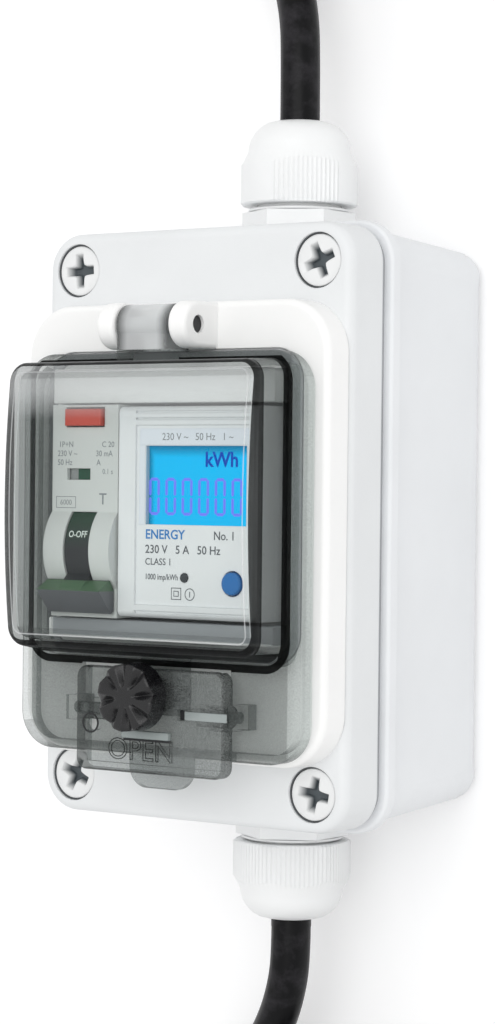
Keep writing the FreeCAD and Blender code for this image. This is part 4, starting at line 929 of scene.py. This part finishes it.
def addDigits(s):
    bm = bmesh.new()
    pitch = (s["right"] - s["left"] - s["width"]) / (s["count"] - 1)
    middle = (s["low"] + s["high"]) / 2
    w, inset, cut = s["stroke"], s["stroke"] * s["inset"], s["stroke"] * s["cut"]
    for i in range(s["count"]):
        x0 = s["left"] + pitch * i
        x1 = x0 + s["width"]
        for y in (s["low"], s["high"] - w):
            addBar(bm, x0 + inset, x1 - inset, y, y + w, s)
        for x in (x0, x1 - w):
            addBar(bm, x, x + w, s["low"] + cut, middle - s["gap"], s)
            addBar(bm, x, x + w, middle + s["gap"], s["high"] - cut, s)
    addPiece("displayDigits", bm, inks["digitViolet"], smooth=False)


addDigits(digitSettings)
addWords("displayUnit", look=inks["unitBlue"], **digitSettings["unit"])
print("display filled")


# Printed lettering: plain ratings and words only

meterLabel = {
    "z": 72.22, "print": 72.23, "thick": 0.02, "left": -3.9, "right": 24.2, "high": 20.2,
    "hole": (-2.35, 23.75, 0.05, 16.75),
    "frames": ((4.7, 7.3, -15.3, -12.8), (5.35, 6.65, -14.65, -13.45)), "line": 0.16,
    "ring": (1.1, 1.28), "ringPlace": (9.5, -14.1),
}
breakerLabel = {"z": 72.2, "print": 72.21, "frame": (-26.3, -20.9, 3.3, 5.8), "line": 0.14}


def addFoil(s):
    # the pale foil over and beside the display, as three strips
    bm = bmesh.new()
    holeLeft, holeRight, holeLow, holeHigh = s["hole"]
    strips = [(s["left"], s["right"], holeHigh, s["high"]), (s["left"], holeLeft, holeLow, holeHigh),
              (holeRight, s["right"], holeLow, holeHigh)]
    for x0, x1, y0, y1 in strips:
        addBlock(bm, (x0, x1), (y0, y1), (s["z"] - s["thick"], s["z"]))
    addPiece("foilTop", bm, extras["labelFoil"], smooth=False)


# each line of print: name, words, size, place, ink, width, how much bolder, how it is aligned if not to the left
meterWords = [
    ("labelRatings", "230 V ~   50 Hz   1 ~", 2.15, (11.1, 17.75), "inkPale", 0.98, 0.0, "CENTER"),
    ("labelTitle", "ENERGY", 2.75, (-2.2, -2.75), "inkBlue", 1.0, 0.05),
    ("labelTitleEnd", "No. 1", 2.5, (15.4, -2.7), "inkDark", 0.95, 0.02),
    ("labelVolts", "230 V   5 A   50 Hz", 2.45, (-2.2, -5.75), "inkDark", 1.0, 0.02),
    ("labelClass", "CLASS 1", 2.0, (-2.2, -8.2), "inkDark", 0.98, 0.01),
    ("labelPulses", "1000 imp/kWh", 1.7, (-2.2, -11.25), "inkDark", 0.84, 0.015),
    ("labelPhase", "1", 1.7, (9.5, -14.7), "inkDark", 1.0, 0.01, "CENTER"),
]
breakerWords = [
    ("breakerPoles", "1P+N", 1.7, (-25.7, 16.3), "inkPale", 1.0, 0.01),
    ("breakerRating", "C 20", 1.7, (-14.0, 16.3), "inkPale", 1.0, 0.01),
    ("breakerVolts", "230 V ~", 1.75, (-26.0, 14.35), "inkPale", 0.95, 0.01),
    ("breakerTrip", "30 mA", 1.75, (-15.6, 14.35), "inkPale", 0.95, 0.01),
    ("breakerHertz", "50 Hz", 1.75, (-26.0, 12.45), "inkPale", 0.95, 0.01),
    ("breakerTime", "0.1 s", 1.6, (-13.8, 10.6), "inkPale", 0.95, 0.0),
    ("breakerClass", "A", 1.75, (-15.4, 12.45), "inkPale", 0.95, 0.01),
    ("breakerLimit", "6000", 1.6, (-23.6, 4.0), "inkPale", 1.0, 0.0, "CENTER"),
    ("breakerTest", "T", 3.4, (-13.6, 4.2), "inkPale", 1.0, 0.02, "CENTER"),
]
addFoil(meterLabel)
for label, lines in ((meterLabel, meterWords), (breakerLabel, breakerWords)):
    for name, words, size, place, ink, *shape in lines:
        addWords(name, words, size, (*place, label["print"]), inks[ink], *shape)


def addOutline(bm, box, z, line, thick):
    # four thin strips round a rectangle
    x0, x1, y0, y1 = box
    for ys in ((y0, y0 + line), (y1 - line, y1)):
        addBlock(bm, (x0, x1), ys, (z, z + thick))
    for xs in ((x0, x0 + line), (x1 - line, x1)):
        addBlock(bm, xs, (y0 + line, y1 - line), (z, z + thick))


def addPrintedLines(meter, breaker):
    bm = bmesh.new()
    thick = meter["thick"]
    for box in meter["frames"]:
        addOutline(bm, box, meter["z"], meter["line"], thick)
    ring = bmesh.new()
    inner, outer = meter["ring"]
    addSpun(ring, [(inner, 0.0), (outer, 0.0), (outer, thick), (inner, thick)], "Z", 48)
    moveBy(ring, *meter["ringPlace"], meter["z"])
    addPart(bm, ring)
    addPiece("labelSigns", bm, inks["inkDark"], smooth=False)
    bm = bmesh.new()
    addOutline(bm, breaker["frame"], breaker["z"], breaker["line"], thick)
    addPiece("breakerFrame", bm, inks["inkPale"], smooth=False)


addPrintedLines(meterLabel, breakerLabel)


drumWords = {"words": "O-OFF", "size": 2.0, "x": -20.9, "angle": 13.0, "radius": 11.93, "y": -5.5, "z": 63.0,
             "width": 0.86, "bold": 0.02}


def addDrumWords(s):
    a = math.radians(s["angle"])
    place = (s["x"], s["y"] + s["radius"] * math.sin(a), s["z"] + s["radius"] * math.cos(a))
    addWords("drumWords", s["words"], s["size"], place, inks["inkWhite"], s["width"], s["bold"],
             turn=Matrix.Rotation(-a, 4, "X"), body="toggle")


addDrumWords(drumWords)
print("lettering placed")


# Window door: opening word, ridge and bar; painted shade under the ridge, beside the bar, round the peg hole and the
# screw heads, and in the pin and cheek holes

doorDetails = {
    "word": "OPEN", "size": 6.3, "place": (-10.5, -49.0, 73.66), "width": 1.06, "line": 0.11,
    # what lies on the tab: look, x, y, z and rounding
    "slabs": {"tabRidge": ("ridgePale", (-6.25, 6.25), (-44.45, -42.75), (73.55, 74.65), 0.25),
              "tabRidgeShade": ("paintedShadeDark", (-6.25, 6.25), (-45.0, -44.5), (73.6, 73.75), 0.0),
              "tabBar": ("ridgePale", (9.7, 20.4), (-39.95, -38.15), (73.6, 73.85), 0.1),
              # painted shade: a dark sheet deep in the hole beside the bar
              "tabBarHoleShade": ("paintedShadeDark", (7.65, 9.55), (-40.05, -37.95), (72.4, 72.5), 0.0)},
    # rings and discs of painted shade: round the peg hole, round each screw head in its well, and in the pin holes
    # and the cheek hole
    "pegShadeRing": (1.98, 0.36, (-15.2, -41.9, 73.5)), "wellShadeRing": (5.65, 0.24), "wellShadeDepth": 0.6, "pinHoleShadeRadius": 1.8,
    "wellShadePlaces": ((31.5, 55.0, 57.9), (-31.5, 55.0, 57.9), (31.5, -55.0, 57.9), (-31.5, -55.0, 57.9)),
    "pinHoleShadePlaces": ((10.95, 41.6, 73.0), (-10.95, 41.6, 73.0)), "cheekHoleShade": (0.55, (-9.57, -6.6, 68.2)),
}


def addOpenWord(s):
    # raised outline letters
    shape = {"fill_mode": "NONE", "bevel_depth": s["line"] * mm, "bevel_resolution": 1, "resolution_u": 4}
    addLetters("openWord", s["word"], s["size"], s["place"], extras["openLook"], "latch", shape, s["width"])


def addRing(name, r, thick, place, look, body="enclosure", depth=0.2):
    bm = bmesh.new()
    inner, outer = r - thick / 2, r + thick / 2
    addSpun(bm, [(inner, 0.0), (outer, 0.0), (outer, depth), (inner, depth)], "Z", 64)
    moveBy(bm, *place)
    addPiece(name, bm, look, body, smooth=False)


def addDisc(name, r, place, look, depth=0.05):
    # a thin disc that faces along X
    bm = bmesh.new()
    bmesh.ops.create_cone(bm, cap_ends=True, segments=40, radius1=r * mm, radius2=r * mm, depth=depth * mm)
    bmesh.ops.rotate(bm, cent=(0, 0, 0), matrix=Matrix.Rotation(math.pi / 2, 3, "Y"), verts=bm.verts)
    moveBy(bm, *place)
    addPiece(name, bm, look, smooth=False)


def addSlab(name, xs, ys, zs, look, body, bevel):
    bm = bmesh.new()
    addBlock(bm, xs, ys, zs, bevel)
    addPiece(name, bm, look, body)


addOpenWord(doorDetails)
for name, (look, xs, ys, zs, bevel) in doorDetails["slabs"].items():
    addSlab(name, xs, ys, zs, extras[look], "latch", bevel)
# painted shade: a dark ring round the peg hole
addRing("pegHoleShadeRing", *doorDetails["pegShadeRing"], extras["paintedShadeDark"], "latch")
# painted shade: a dark ring round each screw head, in the gap of its well
for i, place in enumerate(doorDetails["wellShadePlaces"]):
    addRing("coverScrewWellShade" + str(i + 1), *doorDetails["wellShadeRing"], place, extras["wellShadeGrey"],
            depth=doorDetails["wellShadeDepth"])
# painted shade: dark discs in the hinge pin's holes
for i, place in enumerate(doorDetails["pinHoleShadePlaces"]):
    addDisc("hingePinHoleShade" + str(i + 1), doorDetails["pinHoleShadeRadius"], place, extras["paintedShadeDark"])
# painted shade: a dark disc in the breaker's cheek hole
addDisc("cheekHoleShade", *doorDetails["cheekHoleShade"], extras["paintedShadeDark"])


knobSettings = {
    "centre": (0.0, -35.4), "radius": 7.1, "low": 76.2, "high": 82.0, "inner": 2.2, "grooves": 8, "first": 8.0,
    "deep": 1.2, "narrow": 0.45, "wide": 1.75, "rise": 1.2, "inward": 0.85, "crown": 1.5, "crownShare": 0.8,
    "stem": 3.4, "bore": 2.05, "foot": 68.7, "boreTop": 79.6, "flatRings": (1.0, 2.0, 2.6, 3.4, 4.3, 5.2, 6.0),
    # edges of top and foot: how far in and down; keep: height that stays round
    "edge": ((0.5, 0.05), (0.15, 0.25), (0.0, 0.7), (0.0, 2.0), (0.0, 3.6)), "footEdge": (0.4, 0.5), "keep": 0.6,
    "wall": 0.05, "steps": 240,
}


def addKnob(s):
    bm = bmesh.new()
    r, low, high = s["radius"], s["low"], s["high"]
    rows = [(0, high)] + [(far, high) for far in s["flatRings"]]
    rows += [(r - off, high - down) for off, down in s["edge"]]
    rows += [(r, low + s["footEdge"][1]), (r - s["footEdge"][0], low), (s["stem"], low), (s["stem"], s["foot"]),
             (s["bore"], s["foot"]), (s["bore"], s["boreTop"]), (0, s["boreTop"])]
    addSpun(bm, rows, "Z", s["steps"])
    whole = 360 / s["grooves"]
    for v in bm.verts:
        x, y, z = v.co.x / mm, v.co.y / mm, v.co.z / mm
        far = math.hypot(x, y)
        if far < s["inner"] or z < low + s["keep"]:
            continue
        local = (math.degrees(math.atan2(y, x)) - s["first"] + whole / 2) % whole - whole / 2
        off = abs(math.radians(local)) * far
        half = s["narrow"] + (s["wide"] - s["narrow"]) * (far - s["inner"]) / (r - s["inner"])
        part = max(0.0, 1 - off / half) * min(1.0, (far - s["inner"]) / s["rise"])
        if far < r - s["wall"]:
            v.co.z -= s["deep"] * part * mm
        else:
            # the side wall is notched too, less towards its foot
            inward = 1 - s["inward"] * part * (z - low) / (high - low) / r
            v.co.x *= inward
            v.co.y *= inward
            if z > high - s["crown"]:
                v.co.z -= s["deep"] * part * s["crownShare"] * mm
    moveBy(bm, *s["centre"], 0)
    knob = addPiece("knobGrip", bm, looks["knob_black"], "knob")
    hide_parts("lock_knob")


addKnob(knobSettings)


# strips beside the devices, inside the window's opening: look, x, y and top
windowTrim = {
    "windowHead": ("frame_white", (-28.6, 29.3), (25.6, 32.9), 70.6),
    "windowLedge": ("trimGrey", (-28.6, 29.3), (-24.2, -20.1), 70.4),
    "windowLip": ("frame_white", (-28.6, 29.3), (-24.3, -23.7), 71.2),
    "windowLipSide": ("frame_white", (-28.9, -28.3), (-24.3, -20.1), 71.2),
}
trimFoot, trimBevel = 60.6, 0.3
for name, (look, xs, ys, top) in windowTrim.items():
    addSlab(name, xs, ys, (trimFoot, top), {**looks, **extras}[look], "enclosure", trimBevel)
print("door details made")


# Floor and light

studio = {
    # lift: glow of the floor as the camera sees it; world: light from all round
    "floorSize": 6.0, "floorTone": 0.86, "floorRough": 0.9, "floorShine": 0.1, "fibre": 30.0, "fibreShade": 0.99,
    "lift": 0.22, "world": 0.81,
    "key": (0.45, 0.32, 1.35), "keyPower": 6.7, "keySize": 1.2,
}


def addFloor(s):
    bm = bmesh.new()
    bmesh.ops.create_grid(bm, x_segments=1, y_segments=1, size=s["floorSize"] / 2)
    mat, tree, shader, coord = startLook("floorPaper")
    tone, shade = s["floorTone"], s["floorTone"] * s["fibreShade"]
    fibre = addNoise(tree, coord, s["fibre"], 3.0)
    feed(shader, "Base Color", addMix(tree, fibre, (tone, tone, tone, 1), (shade, shade, tone, 1)))
    feed(shader, "Roughness", s["floorRough"])
    feed(shader, "Specular IOR Level", s["floorShine"])
    glow = tree.nodes.new("ShaderNodeEmission")
    path = tree.nodes.new("ShaderNodeLightPath")
    seen = addMaths(tree, "MAXIMUM", path.outputs["Is Camera Ray"], path.outputs["Is Glossy Ray"])
    seen = addMaths(tree, "MAXIMUM", seen, path.outputs["Is Transmission Ray"])
    feed(glow, "Strength", times(tree, seen, s["lift"]))
    joined = tree.nodes.new("ShaderNodeAddShader")
    feed(joined, 0, shader.outputs[0])
    feed(joined, 1, glow.outputs[0])
    feed(tree.nodes["Material Output"], "Surface", joined.outputs[0])
    addPiece("floor", bm, mat, None, smooth=False)


def addWorld(s):
    world = bpy.data.worlds.new("studioAir")
    bpy.context.scene.world = world
    world.use_nodes = True
    tree = world.node_tree
    back = tree.nodes["Background"]
    feed(back, "Color", (1, 1, 1, 1))
    path = tree.nodes.new("ShaderNodeLightPath")
    seen = addMaths(tree, "MAXIMUM", path.outputs["Is Camera Ray"], path.outputs["Is Transmission Ray"])
    feed(back, "Strength", addRange(tree, seen, 0.0, 1.0, s["world"], 1.0))


def addKeyLight(s):
    data = bpy.data.lights.new("keyLight", "AREA")
    data.energy = s["keyPower"]
    data.shape = "SQUARE"
    data.size = s["keySize"]
    lamp = addObject("keyLight", data)
    lamp.location = s["key"]
    lamp.rotation_euler = (-Vector(s["key"])).to_track_quat("-Z", "Y").to_euler()


addFloor(studio)
addWorld(studio)
addKeyLight(studio)
bpy.context.scene.view_settings.view_transform = "Standard"
print("studio set")
